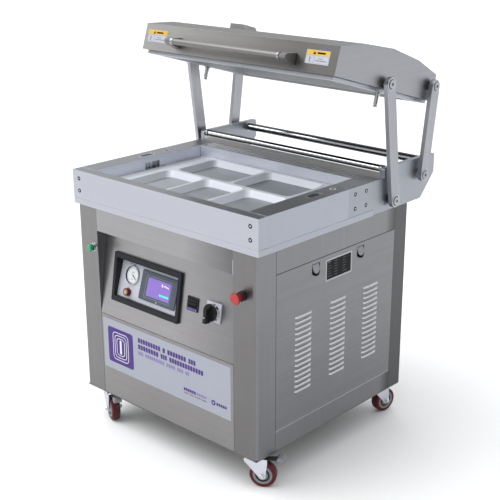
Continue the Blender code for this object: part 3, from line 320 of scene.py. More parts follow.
# Painted light and shade: the pins' end faces are a lighter copy of the dark steel of their barrels.
pin_steel = metal("pin_steel", (0.085, 0.085, 0.090), 0.32, "", streak=0.10, cloud=0.08, edge=0.2,
                  side=(0.36, 0.37, 0.39))
cap_steel = metal("cap_steel", (0.36, 0.37, 0.39), 0.30, "", streak=0.12, cloud=0.08)
heater = metal("heater_coating", (0.10, 0.105, 0.12), 0.50, "X", streak=0.20, cloud=0.15, metallic=0.6)

black = plastic("black_plastic", (0.012, 0.012, 0.013), 0.34, specular=0.22)
soft_black = plastic("black_rubber", (0.018, 0.018, 0.020), 0.60, bump=0.2, dust=0.25)
bezel_black = plastic("bezel_black", (0.012, 0.013, 0.018), 0.42, bump=0.2, specular=0.22)
# Painted shade: flat black that stands in for the dark inside holes, sockets, gaps and recesses.
hole_shade_black = plastic("recess_shade_black", (0.006, 0.006, 0.006), 0.80, specular=0.05)
slate = plastic("slate_plastic", (0.065, 0.078, 0.105), 0.42)
slate_edge = plastic("slate_edge", (0.040, 0.047, 0.064), 0.42)
slate_light = plastic("slate_outline", (0.20, 0.23, 0.30), 0.40)
white = plastic("white_enamel", (0.50, 0.51, 0.57), 0.38, speck=0.03, cloud=0.04)
dial_white = plastic("dial_white", (0.72, 0.73, 0.76), 0.35, speck=0.02, cloud=0.03, coat=0.6)
label_sheet = plastic("label_sheet", (0.33, 0.345, 0.405), 0.38, speck=0.02, cloud=0.05, coat=0.15)
print_black = plastic("print_black", (0.008, 0.008, 0.009), 0.45, speck=0.05, specular=0.10)
print_grey = plastic("print_grey", (0.17, 0.17, 0.19), 0.45, speck=0.05)
print_purple = plastic("print_purple", (0.068, 0.030, 0.20), 0.40, speck=0.04, cloud=0.06, specular=0.25)
print_lilac = plastic("print_lilac", (0.20, 0.17, 0.36), 0.40, speck=0.04)
sign_white = plastic("sign_white", (0.46, 0.47, 0.53), 0.42, speck=0.03, cloud=0.05)
faint_grey = plastic("faint_grey", (0.10, 0.10, 0.11), 0.45, speck=0.05, specular=0.2)
print_yellow = plastic("print_yellow", (0.66, 0.40, 0.035), 0.42, speck=0.04)
screen_purple = plastic("screen_purple", (0.235, 0.150, 0.50), 0.30, speck=0.01, coat=0.5, glow=0.14)
screen_teal = plastic("screen_teal", (0.10, 0.62, 0.56), 0.30, speck=0.01, glow=0.25)
screen_white = plastic("screen_white", (0.85, 0.85, 0.90), 0.30, speck=0.01, glow=0.25)
key_purple = plastic("key_purple", (0.19, 0.11, 0.50), 0.35, glow=0.25)
# Painted light and shade: the stop head's face to the operator is a lighter red than its sides.
stop_red = plastic("stop_red", (0.20, 0.014, 0.016), 0.38, cloud=0.06, specular=0.3,
                   face=(0.42, 0.042, 0.043))
start_green = plastic("start_green", (0.012, 0.30, 0.12), 0.30, coat=0.4, cloud=0.12)
# Painted light and shade on one red lens: a lit orange front, a shaded dark red side and a painted glint at
# the centre.
lens_lit_orange = plastic("lens_lit_orange", (0.26, 0.060, 0.02), 0.30, coat=0.2, specular=0.3)
lens_painted_glint = plastic("lens_painted_glint", (0.42, 0.36, 0.28), 0.25, coat=0.6)
lens_shaded_red = plastic("lens_shaded_red", (0.085, 0.005, 0.005), 0.25, specular=0.3)
tread_red = plastic("tread_red", (0.098, 0.006, 0.012), 0.42, bump=0.25, dust=0.04, specular=0.25)
hub_grey = plastic("hub_grey", (0.22, 0.22, 0.225), 0.48, dust=0.15)
pedal_grey = plastic("pedal_grey", (0.20, 0.21, 0.24), 0.50, dust=0.2)
silicone = plastic("silicone_grey", (0.26, 0.245, 0.24), 0.60, bump=0.2)
pump_blue = plastic("pump_blue", (0.05, 0.11, 0.22), 0.50, dust=0.3)
box_grey = plastic("box_grey", (0.40, 0.41, 0.42), 0.50, dust=0.1)


# ---------------- finishes of the CAD nodes
def pair(pattern):
    return [pattern.format(side) for side in ("left", "right")]


CORNERS = ("front_left", "front_right", "rear_left", "rear_right")
node_finishes = [
    (front_steel, ["front_door", "valve_box"]),
    (panel_steel, ["control_panel"]),
    (band_steel, ["front_top_band"]),
    (left_post_steel, ["left_side_frame"]),
    (post_steel, ["right_side_frame"]),
    (side_steel, pair("louver_panel_{}") + ["back_panel"]),
    (dark_steel, ["floor_plate"]),
    (film_steel, ["film_plate"]),
    (rim_aluminium, ["rim_front_bar", "rim_right_bar", "base_plate"]),
    (left_bar_aluminium, ["rim_left_bar"]),
    (rear_bar_aluminium_lit, ["rim_rear_bar"]),
    (plate_aluminium, pair("side_plate_{}")),
    (mold_aluminium, ["tray_mold"]),
    (floor_steel, ["mold_floor"]),
    (lid_steel, ["lid_cover"]),
    (handle_steel, ["lid_handle"]),
    (lid_aluminium, ["lid_frame"]),
    (heater, ["heating_plate"]),
    (silicone, ["lid_seal"]),
    (arm_aluminium, pair("front_arm_{}") + pair("rear_arm_{}")),
    (roller_chrome, ["film_roller", "film_shaft"]),
    (chrome, pair("lock_pin_{}")),
    (pin_steel, ["arm_shaft"] + pair("upper_pin_{}")),
    (pump_blue, ["vacuum_pump"]),
    (box_grey, ["electrical_box"]),
    (black, ["cable_gland", "switch_knob", "temperature_controller", "stop_ring"]),
    (bezel_black, ["display_bezel"]),
    (white, ["instrument_plate", "switch_plate"]),
    (slate, ["touch_screen"]),
    (stop_red, ["stop_button"]),
    (start_green, ["start_button"]),
    (zinc, [corner + "_fork" for corner in CORNERS]),
    (soft_black, pair("front_{}_brake_pedal")),
]
for finish, names in node_finishes:
    for name in names:
        for slot in nodes[name].material_slots:
            slot.material = finish

SOFT_EDGES = {
    0.0006: ["front_top_band", "front_door", "control_panel", "back_panel", "display_bezel", "switch_plate",
             "touch_screen", "temperature_controller", "film_plate", "valve_box"] + pair("{}_side_frame"),
    0.0008: ["rim_front_bar", "rim_left_bar", "rim_right_bar", "rim_rear_bar", "base_plate", "lid_cover",
             "lid_frame", "tray_mold", "heating_plate"] + pair("side_plate_{}"),
    0.0010: ["lid_handle"] + pair("front_arm_{}") + pair("rear_arm_{}") + pair("front_{}_brake_pedal"),
    0.0005: ["switch_knob"] + [corner + "_fork" for corner in CORNERS],
}
for width, names in SOFT_EDGES.items():
    for name in names:
        weld = nodes[name].modifiers.new("weld", "WELD")
        weld.merge_threshold = 0.00002
        bevel = nodes[name].modifiers.new("soft_edges", "BEVEL")
        bevel.width = width
        bevel.segments = 2
        bevel.limit_method = "ANGLE"
        bevel.angle_limit = math.radians(40)
        bevel.use_clamp_overlap = True
        shading = nodes[name].modifiers.new("even_shading", "WEIGHTED_NORMAL")
        shading.keep_sharp = False


# ---------------- modelling helpers
def circle(radius, height, count=24, sides=0):
    """A ring of points about the local z axis; sides makes it a polygon with that many corners."""
    points = []
    for i in range(count):
        angle = 2 * math.pi * i / count
        reach = radius
        if sides:
            half = math.pi / sides
            reach = radius * math.cos(half) / math.cos(angle % (2 * half) - half)
        points.append(Vector((reach * math.cos(angle), reach * math.sin(angle), height)))
    return points


def rounded(x0, x1, y0, y1, radius, height, steps=4):
    """A rectangle with round corners at a height."""
    corners = ((x1 - radius, y1 - radius), (x0 + radius, y1 - radius),
               (x0 + radius, y0 + radius), (x1 - radius, y0 + radius))
    points = []
    for quarter, (x, y) in enumerate(corners):
        for i in range(steps + 1):
            angle = math.pi / 2 * (quarter + i / steps)
            points.append(Vector((x + radius * math.cos(angle), y + radius * math.sin(angle), height)))
    return points


def loft(rings, closed=False):
    """Skin over rings of equal count, each band with its number as material index."""
    bm = bmesh.new()
    rows = [[bm.verts.new(point) for point in ring] for ring in rings]
    count = len(rows[0])
    pairs = list(zip(rows, rows[1:]))
    if closed:
        pairs.append((rows[-1], rows[0]))
    for band, (lower, upper) in enumerate(pairs):
        for i in range(count):
            j = (i + 1) % count
            face = bm.faces.new((lower[i], lower[j], upper[j], upper[i]))
            face.material_index = band
    if not closed:
        bm.faces.new(rows[0][::-1]).material_index = 0
        bm.faces.new(rows[-1]).material_index = len(pairs) - 1
    return bm


def spin(profile, count=24, closed=False):
    """A turned form; profile lists (radius, height) or (radius, height, corners)."""
    return loft([circle(step[0], step[1], count, *step[2:]) for step in profile], closed)


def slab(x0, x1, y0, y1, back, front, radius=0.002, chamfer=0.0003):
    """A plate with round corners and a chamfered front edge."""
    def ring(inset, height):
        return rounded(x0 + inset, x1 - inset, y0 + inset, y1 - inset, max(radius - inset, 0.0001), height)

    return loft([ring(0, back), ring(0, front - chamfer), ring(chamfer, front)])


def outline(x0, x1, y0, y1, width, back, front, radius=0.003):
    """A thin raised frame with round corners."""
    def ring(inset, height):
        return rounded(x0 + inset, x1 - inset, y0 + inset, y1 - inset, max(radius - inset, 0.0002), height)

    return loft([ring(0, back), ring(0, front), ring(width, front), ring(width, back)], closed=True)


def polygon(points, back, front):
    return loft([[Vector((x, y, height)) for x, y in points] for height in (back, front)])


def shift(x, y, z=0.0, turn=0.0):
    return Matrix.Translation((x, y, z)) @ Matrix.Rotation(turn, 4, "Z")


def put_in_scene(name, data):
    made = bpy.data.objects.new(name, data)
    bpy.context.scene.collection.objects.link(made)
    return made


class Piece:
    """Shells with their finishes, gathered into one mesh that rides on a body."""

    def __init__(self, name, body, slot, place=AS_IS):
        self.name, self.body, self.slot, self.place = name, body, slot, place
        self.bm = bmesh.new()
        self.finishes = []

    def add(self, bm, finish, *places):
        """finish is one material, or one for each band of the shell."""
        bands = finish if isinstance(finish, (list, tuple)) else [finish]
        for material in bands:
            if material not in self.finishes:
                self.finishes.append(material)
        for face in bm.faces:
            material = bands[min(face.material_index, len(bands) - 1)]
            face.material_index = self.finishes.index(material)
        shell = bpy.data.meshes.new("shell")
        bm.to_mesh(shell)
        bm.free()
        for place in places or (AS_IS,):
            first = len(self.bm.verts)
            self.bm.from_mesh(shell)
            self.bm.verts.ensure_lookup_table()
            bmesh.ops.transform(self.bm, matrix=self.place @ place, verts=self.bm.verts[first:])
        bpy.data.meshes.remove(shell)
        return self

    def finish(self, replaces=(), smooth=38.0):
        bmesh.ops.recalc_face_normals(self.bm, faces=self.bm.faces)
        mesh = bpy.data.meshes.new(self.name)
        self.bm.to_mesh(mesh)
        self.bm.free()
        for material in self.finishes:
            mesh.materials.append(material)
        mesh.shade_smooth()
        mesh.set_sharp_from_angle(angle=math.radians(smooth))
        piece = put_in_scene(self.name, mesh)
        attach(piece, self.body)
        if replaces:
            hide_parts(*replaces)
        return piece


def socket_head(radius, height, socket, depth=0.0012):
    """Cap screw head with a hexagon socket."""
    return spin([(radius, -0.0006), (radius, height * 0.6), (radius * 0.9, height), (socket * 1.12, height),
                 (socket, height - 0.0002, 6), (socket * 0.96, height - depth, 6)])


def ring_shape(inner, outer, back, front, edge=0.0004, count=32):
    return spin([(inner, back), (outer, back), (outer, front - edge), (outer - edge, front),
                 (inner + edge, front), (inner, front - edge)], count, closed=True)


# ---------------- fasteners of the chamber
SCREW_X, FRONT_SCREWS_Z = 0.370, (-0.026, -0.066)
PLATE_SCREWS_Y, PLATE_SCREWS_Z = (0.431, 0.485), (-0.022, -0.067)


def ringed_screw(piece, radius, ring, socket, at):
    """A socket screw in a counterbore, whose dark is a flat black ring: painted shade."""
    piece.add(ring_shape(radius - 0.0001, ring, -0.0004, 0.0003, 0.0001, 24), hole_shade_black, at)
    piece.add(socket_head(radius, 0.0006, socket, 0.0005), bolt_steel, at)


screws = Piece("rim_screws", "machine_body", "zinc")
for x in (-SCREW_X, SCREW_X):
    for z in FRONT_SCREWS_Z:
        ringed_screw(screws, 0.0029, 0.0068, 0.0011, RIM_FRONT @ shift(x, z, 0.0, x * 7 + z * 30))
for mirror in (AS_IS, MIRROR):
    side = mirror @ RIM_SIDE
    for y in PLATE_SCREWS_Y:
        for z in PLATE_SCREWS_Z:
            ringed_screw(screws, 0.0027, 0.0064, 0.0010, side @ shift(y, z, 0.0, y * 20))
    screws.add(spin([(0.0032, -0.0004), (0.0032, 0.0003), (0.0022, 0.0007)]), chrome,
               side @ shift(0.575, -0.076))
    screws.add(socket_head(0.0030, 0.0010, 0.0014), screw_steel, side @ shift(0.640, -0.098))
screws.finish()

bushes = Piece("bar_bushes", "machine_body", "chrome", RIM_TOP)
SLOT_WIDTH, SLOT_LENGTH = 0.0112, 0.0282  # half sizes of the slots for the lid's lock pins
BUSH_WIDTH, BUSH_LENGTH = 0.0150, 0.0320
LOW, HIGH = 0.0001, 0.0003  # above the bars, and still below the closed lid's seal


def stadium(half_width, half_length, height):
    points = circle(half_width, height, 32)
    reach = half_length - half_width
    return [Vector((p.x, p.y + math.copysign(reach, p.y if abs(p.y) > 1e-9 else p.x), p.z)) for p in points]


for side in (-1, 1):
    rings = [stadium(SLOT_WIDTH, SLOT_LENGTH, -0.006), stadium(BUSH_WIDTH, BUSH_LENGTH, -0.0004),
             stadium(BUSH_WIDTH, BUSH_LENGTH, LOW), stadium(BUSH_WIDTH - HIGH, BUSH_LENGTH - HIGH, HIGH),
             stadium(SLOT_WIDTH + 0.0004, SLOT_LENGTH + 0.0004, HIGH), stadium(SLOT_WIDTH, SLOT_LENGTH, LOW)]
    bushes.add(loft(rings, closed=True), bolt_steel, shift(side * 0.362, 0.282))
    hole, oiler = shift(side * 0.360, 0.371), shift(side * 0.346, 0.227)
    bushes.add(ring_shape(0.0055, 0.0105, -0.0004, HIGH, 0.0001), chrome, hole)
    # Painted shade: flat black plugs in the bush's hole and the oiler's hole.
    bushes.add(spin([(0.0056, -0.0004), (0.0056, LOW), (0.0040, 0.0002)]), hole_shade_black, hole)
    bushes.add(ring_shape(0.0020, 0.0034, -0.0004, HIGH, 0.0001, 20), screw_steel, oiler)
    bushes.add(spin([(0.0020, -0.0004), (0.0020, LOW), (0.0014, 0.00015)]), hole_shade_black, oiler)
    bushes.add(socket_head(0.0030, 0.0002, 0.0014, 0.0006), screw_steel, shift(side * 0.343, 0.262),
               shift(side * 0.381, 0.302))
bushes.finish()

GROOVE, GROOVE_PITCH, FIRST_GROOVE = 0.0058, 0.016, 0.0078  # dark strips in the rear bar's grooves
low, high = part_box("rim_rear_bar")
strips = Piece("groove_strips", "machine_body", "black")
for i in range(3):
    start = low.y + FIRST_GROOVE + i * GROOVE_PITCH
    strips.add(slab(low.x + 0.001, high.x - 0.001, start, start + GROOVE, high.z - 0.0034, high.z - 0.0004,
                    0.0005, 0.0003), soft_black)
strips.finish()

keepers = Piece("lock_keepers", "machine_body", "alu_dark")
for mirror in (AS_IS, MIRROR):
    wall = mirror @ to_space(Y, Z, (HALF - 0.0565, FRONT, TOP))
    for y0, y1, lift in ((0.2500, 0.2640, 0.0), (0.2720, 0.2790, 0.0015), (0.2890, 0.3060, 0.0)):
        keepers.add(slab(y0, y1, -0.0430, -0.0175, -0.0008, 0.0012 + lift, 0.0010, 0.0006), film_steel, wall)
    bar_wall = mirror @ to_space(-Y, Z, (HALF - 0.070, FRONT, TOP))
    # Painted shade: a flat black patch on the bar's inner wall.
    keepers.add(slab(-0.338, -0.322, -0.0425, -0.0385, -0.0004, 0.0002, 0.0015, 0.0001), hole_shade_black,
                bar_wall)
keepers.finish()

collars = Piece("roller_collars", "machine_body", "aluminium")
for node, radius in (("film_roller", 0.0125), ("film_shaft", 0.0145)):
    axis = middle(node)
    for mirror in (AS_IS, MIRROR):
        at = mirror @ to_space(-Y, Z, (HALF - 0.0163, axis.y, axis.z))
        collars.add(ring_shape(0.0049, radius, -0.0002, 0.0095, 0.0008), cap_steel, at)
collars.finish()

# ---------------- cabinet sides
COLUMNS = (0.1754, 0.3400, 0.5056)
COLUMN_LENGTH, PITCH, ROWS, FIRST_ROW = 0.0708, 0.0171, 15, -0.3440
HOOD = ((0.0, 0.0012), (0.0012, 0.0008), (0.0027, -0.0002), (0.0037, -0.0014), (0.0042, -0.0028),
        (0.0043, -0.0040), (0.0037, -0.0041), (0.0035, -0.0028), (0.0029, -0.0016), (0.0018, -0.0004),
        (0.0004, 0.0004))


def louver_hood():
    """A pressed louver: the sheet swells out, closes at both ends and stays open below."""
    stations = (0.0, 0.03, 0.08, 0.15, 0.30, 0.50, 0.70, 0.85, 0.92, 0.97, 1.0)
    rings = []
    for station in stations:
        rise = min(1.0, math.sin(math.pi / 2 * min(1.0, min(station, 1 - station) / 0.11)) + 0.04)
        along = (station - 0.5) * (COLUMN_LENGTH + 0.004)
        rings.append([Vector((along, z, 0.0001 + out * rise)) for out, z in HOOD])
    return loft(rings)


panel_low, panel_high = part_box("louver_panel_right")
PULLS = (0.2650, 0.4820)
PULL_RADIUS, PULL_HEIGHT, PULL_FOOT = 0.0168, 0.0375, -0.2190
FOLDS_Y, PROUD = (0.0882, 0.6596), 0.00012  # seams of the side frames and their height over the sheet


def pull_outline(inset, foot_inset):
    top = PULL_HEIGHT / 2
    radius = PULL_RADIUS - inset
    points = [(radius, top - inset), (-radius, top - inset)]
    centre = -top + radius + foot_inset
    for i in range(13):
        angle = math.pi + math.pi * i / 12
        points.append((radius * math.cos(angle), centre + radius * math.sin(angle)))
    return points


for label, mirror in (("right", AS_IS), ("left", MIRROR)):
    side = mirror @ CABINET_SIDE
    hoods = Piece("louver_hoods_" + label, "machine_body", "stainless", side)
    spots = [shift(column + COLUMN_LENGTH / 2, FIRST_ROW - row * PITCH) for column in COLUMNS
             for row in range(ROWS)]
    hoods.add(louver_hood(), hood_steel_lit, *spots)
    hoods.finish(smooth=55)

    pulls = Piece("finger_pulls_" + label, "machine_body", "stainless", side)
    for y in PULLS:
        bent = Matrix.Translation((y, PULL_FOOT + PULL_HEIGHT / 2, -0.0011)) @ Matrix.Rotation(
            math.radians(-14), 4, "X") @ Matrix.Translation((0, -PULL_HEIGHT / 2, 0))
        # Painted shade: a black sheet behind the bent tongue.
        pulls.add(polygon(pull_outline(0.0, 0.0), -0.0042, -0.0030), hole_shade_black, bent)
        pulls.add(polygon(pull_outline(0.0018, 0.0075), -0.0028, -0.0010), screw_steel, bent)
    pulls.finish()

    seams = Piece("frame_seams_" + label, "machine_body", "dark", side)
    for y in FOLDS_Y:
        for z0, z1 in ((FLOOR_PLATE + 0.004 - TOP, -0.6875), (-0.1865, -0.1125)):
            seams.add(slab(y - 0.0006, y + 0.0006, z0, z1, -0.0003, PROUD, 0.0002, 0.00005), print_black)
    y0, y1 = panel_low.y - FRONT, panel_high.y - FRONT
    z0, z1 = panel_low.z - TOP, panel_high.z - TOP
    seams.add(slab(y0 - 0.0012, y1, z1 - 0.0008, z1 + 0.0014, -0.0006, PROUD, 0.0002, 0.00005), print_black)
    seams.add(slab(y0 - 0.0012, y0 + 0.0002, z0, z1, -0.0006, PROUD, 0.0002, 0.00005), print_black)
    # Painted highlight: a bright line along the lower edge of the louver panel.
    seams.add(slab(y0, y1, z0 - 0.0012, z0 + 0.0002, -0.0006, 0.00016, 0.0002, 0.00005), bolt_steel)
    seams.finish()

plate = Piece("rating_plate", "machine_body", "black", CABINET_SIDE)
plate.add(slab(0.311, 0.438, -0.2712, -0.2025, -0.0002, 0.0006, 0.002, 0.0002), cap_steel)
plate.add(slab(0.316, 0.433, -0.2665, -0.2072, 0.0004, 0.0008, 0.001, 0.0001), print_black)
for row in range(6):
    z = -0.2145 - row * 0.0085
    for start, length in ((0.321, 0.018 + 0.006 * (row % 3)), (0.352, 0.030 - 0.005 * (row % 2)),
                          (0.392, 0.034 - 0.007 * ((row + 1) % 3))):
        plate.add(slab(start, start + 0.6 * length, z - 0.0008, z + 0.0008, 0.0006, 0.0009, 0.0006, 0.00005),
                  faint_grey)
plate.add(slab(0.321, 0.334, -0.2120, -0.2095, 0.0006, 0.0009, 0.0010, 0.00005), print_grey)
for y in (0.3135, 0.4355):
    for z in (-0.2050, -0.2687):
        plate.add(spin([(0.0013, 0.0004), (0.0013, 0.0008), (0.0008, 0.0011)], 12), chrome, shift(y, z))
plate.finish()

back_trim = Piece("back_screws", "machine_body", "zinc", CABINET_BACK)
places = [shift(x, z, 0, x * 9) for x in (-0.295, -0.100, 0.100, 0.295) for z in (-0.125, -0.735)]
places += [shift(x, z, 0, z * 9) for x in (-0.295, 0.295) for z in (-0.330, -0.530)]
back_trim.add(socket_head(0.0045, 0.0016, 0.0020), screw_steel, *places)
back_trim.finish()

gland = middle("cable_gland")
gland_nut = Piece("gland_nut", "machine_body", "black", to_space(-X, Z, (gland.x, BACK, gland.z)))
gland_nut.add(spin([(0.0138, 0.0002, 6), (0.0148, 0.0008, 6), (0.0148, 0.0066, 6), (0.0136, 0.0076, 6),
                    (0.0117, 0.0078), (0.0117, 0.0002)], 24, closed=True), black)
gland_nut.finish()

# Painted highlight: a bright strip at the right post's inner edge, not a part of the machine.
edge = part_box("control_panel")[1].x + 0.0011
painted_glint = Piece("post_edge_painted_glint", "machine_body", "stainless", CABINET_FRONT)
painted_glint.add(slab(edge - 0.0008, edge + 0.0008, -0.1850, -0.1420, -0.0010, 0.0004, 0.0006, 0.0002), bolt_steel)
painted_glint.finish()

# ---------------- front label
INK = (0.0002, 0.0005)  # back and front of a printed layer
SIGN = (-0.268, -0.146, -0.627, -0.503)  # the generic sign at the label's left
DISC = (0.2140, -0.6165)


def dashes(piece, finish, x0, y, height, lengths, gap=0.006, back=INK[0], front=INK[1], block=0.0):
    """Rows of rounded strokes in place of words; block splits each into short even strokes."""
    for length in lengths:
        count = max(1, round(length / block)) if block else 1
        step = length / count
        width = step - (0.17 * block if block else 0)
        places = [shift(x0 + i * step, y) for i in range(count)]
        piece.add(slab(0, width, -height / 2, height / 2, back, front, min(height, width) * 0.3, 0.00005),
                  finish, *places)
        x0 += length + gap


label = Piece("front_label", "machine_body", "white", CABINET_FRONT)
label.add(slab(-0.291, 0.286, -0.653, -0.478, -0.0001, 0.0003, 0.003, 0.0001), label_sheet)
label.add(slab(*SIGN, *INK, 0.009, 0.0001), print_purple)
for i in range(3):
    inset = 0.013 + i * 0.0090
    label.add(outline(SIGN[0] + inset + 0.010, SIGN[1] - inset - 0.010, SIGN[2] + inset, SIGN[3] - inset,
                      0.0024, 0.0004, 0.0006, 0.014), dial_white)
label.add(slab(-0.2115, -0.2025, -0.5900, -0.5400, 0.0004, 0.0006, 0.0044, 0.0001), dial_white)
for finish, x0, y, height, lengths, gap, block in (
        (print_purple, -0.121, -0.5120, 0.0165, (0.106, 0.012, 0.084, 0.032), 0.0095, 0.0118),
        (print_purple, -0.121, -0.5345, 0.0165, (0.096, 0.030, 0.150), 0.0095, 0.0118),
        (print_lilac, -0.121, -0.5565, 0.0125, (0.024, 0.090, 0.040, 0.028, 0.018), 0.0085, 0.0096),
        (print_purple, 0.086, -0.6120, 0.0105, (0.054,), 0.006, 0.0090),
        (print_lilac, 0.142, -0.6120, 0.0090, (0.044,), 0.006, 0.0084),
        (print_grey, 0.086, -0.6240, 0.0046, (0.022, 0.018, 0.028, 0.020), 0.0035, 0.0),
        (print_purple, 0.2265, -0.6165, 0.0095, (0.044,), 0.006, 0.0088)):
    dashes(label, finish, x0, y, height, lengths, gap, block=block)
label.add(slab(0.1985, 0.1992, -0.628, -0.606, *INK, 0.0003, 0.00005), print_lilac)
label.add(spin([(0.0088, INK[0]), (0.0088, INK[1])], 24), print_purple, shift(*DISC))
label.add(spin([(0.0035, 0.0004), (0.0035, 0.0006)], 24), label_sheet, shift(*DISC))
label.finish()

# ---------------- control panel
BEZEL = (-0.2455, 0.0620, 0.0585, 0.2190)
WINDOW_SIDE, WINDOW_FOOT = 0.0135, 0.0185  # from the bezel's outline to its window
GAUGE = (-0.1750, 0.0770)  # places on the instrument plate, from its foot
DIAL, DIAL_RADIUS, DIAL_STEPS = 0.0010, 0.0238, 40
POWER = (-0.1820, 0.0205)
SCREEN = (-0.1303, 0.0320, 0.0142, 0.1075)
SCREEN_FACE = 0.0043
GLASS = (-0.1010, 0.0030, 0.0300, 0.0895)
GLASS_FACE = 0.0033
CONTROLLER = (0.0898, 0.1367, 0.1140, 0.1580)  # places on the panel
CONTROLLER_FACE = 0.0025
SWITCH = (0.2031, 0.1355)
BOSS_RADIUS, KNOB_RADIUS = 0.0262, 0.0268

bezel = Piece("bezel_trim", "machine_body", "black", PANEL)
x0, x1, z0, z1 = BEZEL
# Painted shade: black outlines along the bezel's edge and round its window.
bezel.add(outline(x0 + 0.0004, x1 - 0.0004, z0 + 0.0004, z1 - 0.0004, 0.0011, 0.0076, 0.0083, 0.004),
          hole_shade_black)
bezel.add(outline(x0 + WINDOW_SIDE - 0.0016, x1 - WINDOW_SIDE + 0.0016, z0 + WINDOW_FOOT - 0.0016,
                  z1 - WINDOW_FOOT + 0.0016, 0.0012, 0.0076, 0.0084, 0.003), hole_shade_black)
for x in (x0 + 0.0070, (x0 + x1) / 2, x1 - 0.0070):
    for z in (z0 + 0.0095, z1 - 0.0095):
        bezel.add(socket_head(0.0024, 0.0006, 0.0011, 0.0004), black, shift(x, z, 0.0080, x * 30))
bezel.finish()

gauge = Piece("gauge_dial", "machine_body", "white", INSTRUMENTS @ shift(*GAUGE))
# The dial's recess wall is painted black: painted shade.
gauge.add(spin([(0.0124, -0.020), (0.0124, 0.0002), (0.0298, 0.0003), (0.0305, 0.0010), (0.0305, 0.0040),
                (0.0298, 0.0052), (0.0286, 0.0055), (0.0278, 0.0047), (0.0273, 0.0011), (0.0272, DIAL)], 48),
          [black, black] + [chrome] * 4 + [print_grey, hole_shade_black, dial_white])
for i in range(DIAL_STEPS + 1):
    angle = math.radians(225 - i * 270 / DIAL_STEPS)
    half_width, length = (0.0005, 0.0020) if i % 5 == 0 else (0.00025, 0.0011)
    gauge.add(slab(-half_width, half_width, -length, 0.0010, 0.0, 0.0002, 0.0002, 0.00005), print_grey,
              shift(DIAL_RADIUS * math.cos(angle), DIAL_RADIUS * math.sin(angle), DIAL, angle - math.pi / 2))
needle = polygon([(-0.0012, -0.006), (0.0012, -0.006), (0.0008, 0.0205), (-0.0008, 0.0205)], 0.0020, 0.0026)
gauge.add(needle, print_black, shift(0, 0, 0, math.radians(-125.5)))
gauge.add(spin([(0.0030, 0.0012), (0.0030, 0.0030), (0.0018, 0.0036)], 20), chrome)
dashes(gauge, print_grey, -0.0055, 0.0095, 0.0018, (0.004, 0.005), 0.001, DIAL, DIAL + 0.0002)
dashes(gauge, print_grey, -0.0065, -0.0135, 0.0015, (0.003, 0.004, 0.003), 0.001, DIAL, DIAL + 0.0002)
gauge.finish(replaces=["vacuum_gauge"])

legend = Piece("plate_legend", "machine_body", "dark", INSTRUMENTS)
dashes(legend, print_grey, -0.1980, 0.1115, 0.0030, (0.004, 0.006, 0.005, 0.008), 0.0020, -0.0001, 0.0002)
legend.add(ring_shape(0.0127, 0.0142, 0.0, 0.0014), chrome, shift(*POWER))
legend.finish()

# Painted light and shade: the lens's side bands are the shaded red, its front rings the lit orange and its
# centre the painted glint.
lens = Piece("power_lens", "power_button", "orange", INSTRUMENTS @ shift(*POWER))
lens.add(spin([(0.0104, -0.012), (0.0104, 0.0030), (0.0124, 0.0031), (0.0124, 0.0124), (0.0119, 0.0133),
               (0.0108, 0.0137), (0.0102, 0.0132), (0.0094, 0.0134), (0.0062, 0.0140), (0.0030, 0.0142)],
              36),
         [black, chrome] + [lens_shaded_red] * 3 + [lens_lit_orange] * 3 + [lens_painted_glint])
lens.finish(replaces=["power_button"])

screen = Piece("screen_image", "machine_body", "slate", INSTRUMENTS)
x0, x1, z0, z1 = SCREEN
screen.add(outline(x0 + 0.0006, x1 - 0.0006, z0 + 0.0006, z1 - 0.0006, 0.0010, SCREEN_FACE - 0.0004,
                   SCREEN_FACE + 0.0002, 0.004), slate_edge)
screen.add(outline(-0.1078, 0.0080, 0.0245, 0.0953, 0.0015, SCREEN_FACE - 0.0002, SCREEN_FACE + 0.0004,
                   0.003), slate_light)
x0, x1, z0, z1 = GLASS
screen.add(slab(x0 + 0.0003, x1 - 0.0003, z0 + 0.0003, z1 - 0.0003, GLASS_FACE - 0.0003, GLASS_FACE + 0.0003,
                0.0008, 0.0001), screen_purple)
LIT = (GLASS_FACE, GLASS_FACE + 0.0006)
screen.add(slab(-0.0435, 0.0005, 0.0418, 0.0483, *LIT, 0.0031, 0.0001), screen_teal)
screen.add(spin([(0.0030, LIT[0]), (0.0030, LIT[1])], 10), screen_white, shift(-0.0352, 0.0770))
screen.add(slab(-0.0362, -0.0342, 0.0705, 0.0820, *LIT, 0.0009, 0.0001), screen_white)
for x, z, turn in ((-0.0260, 0.0758, 0.35), (-0.0195, 0.0768, -0.30), (-0.0130, 0.0752, 0.30),
                   (-0.0085, 0.0748, -0.40)):
    screen.add(slab(-0.0040, 0.0040, -0.0013, 0.0013, *LIT, 0.0010, 0.0001), screen_white,
               shift(x, z, 0, turn))
lamp_steps = ((0.0016, -0.0003), (0.0016, 0.0003), (0.0011, 0.0006))
screen.add(spin([(radius, SCREEN_FACE + lift) for radius, lift in lamp_steps], 16), screen_white,
           shift(-0.0484, 0.0190))
dashes(screen, slate_light, -0.1200, 0.1005, 0.0018, (0.007, 0.005), 0.002, SCREEN_FACE - 0.0002,
       SCREEN_FACE + 0.0003)
screen.finish()

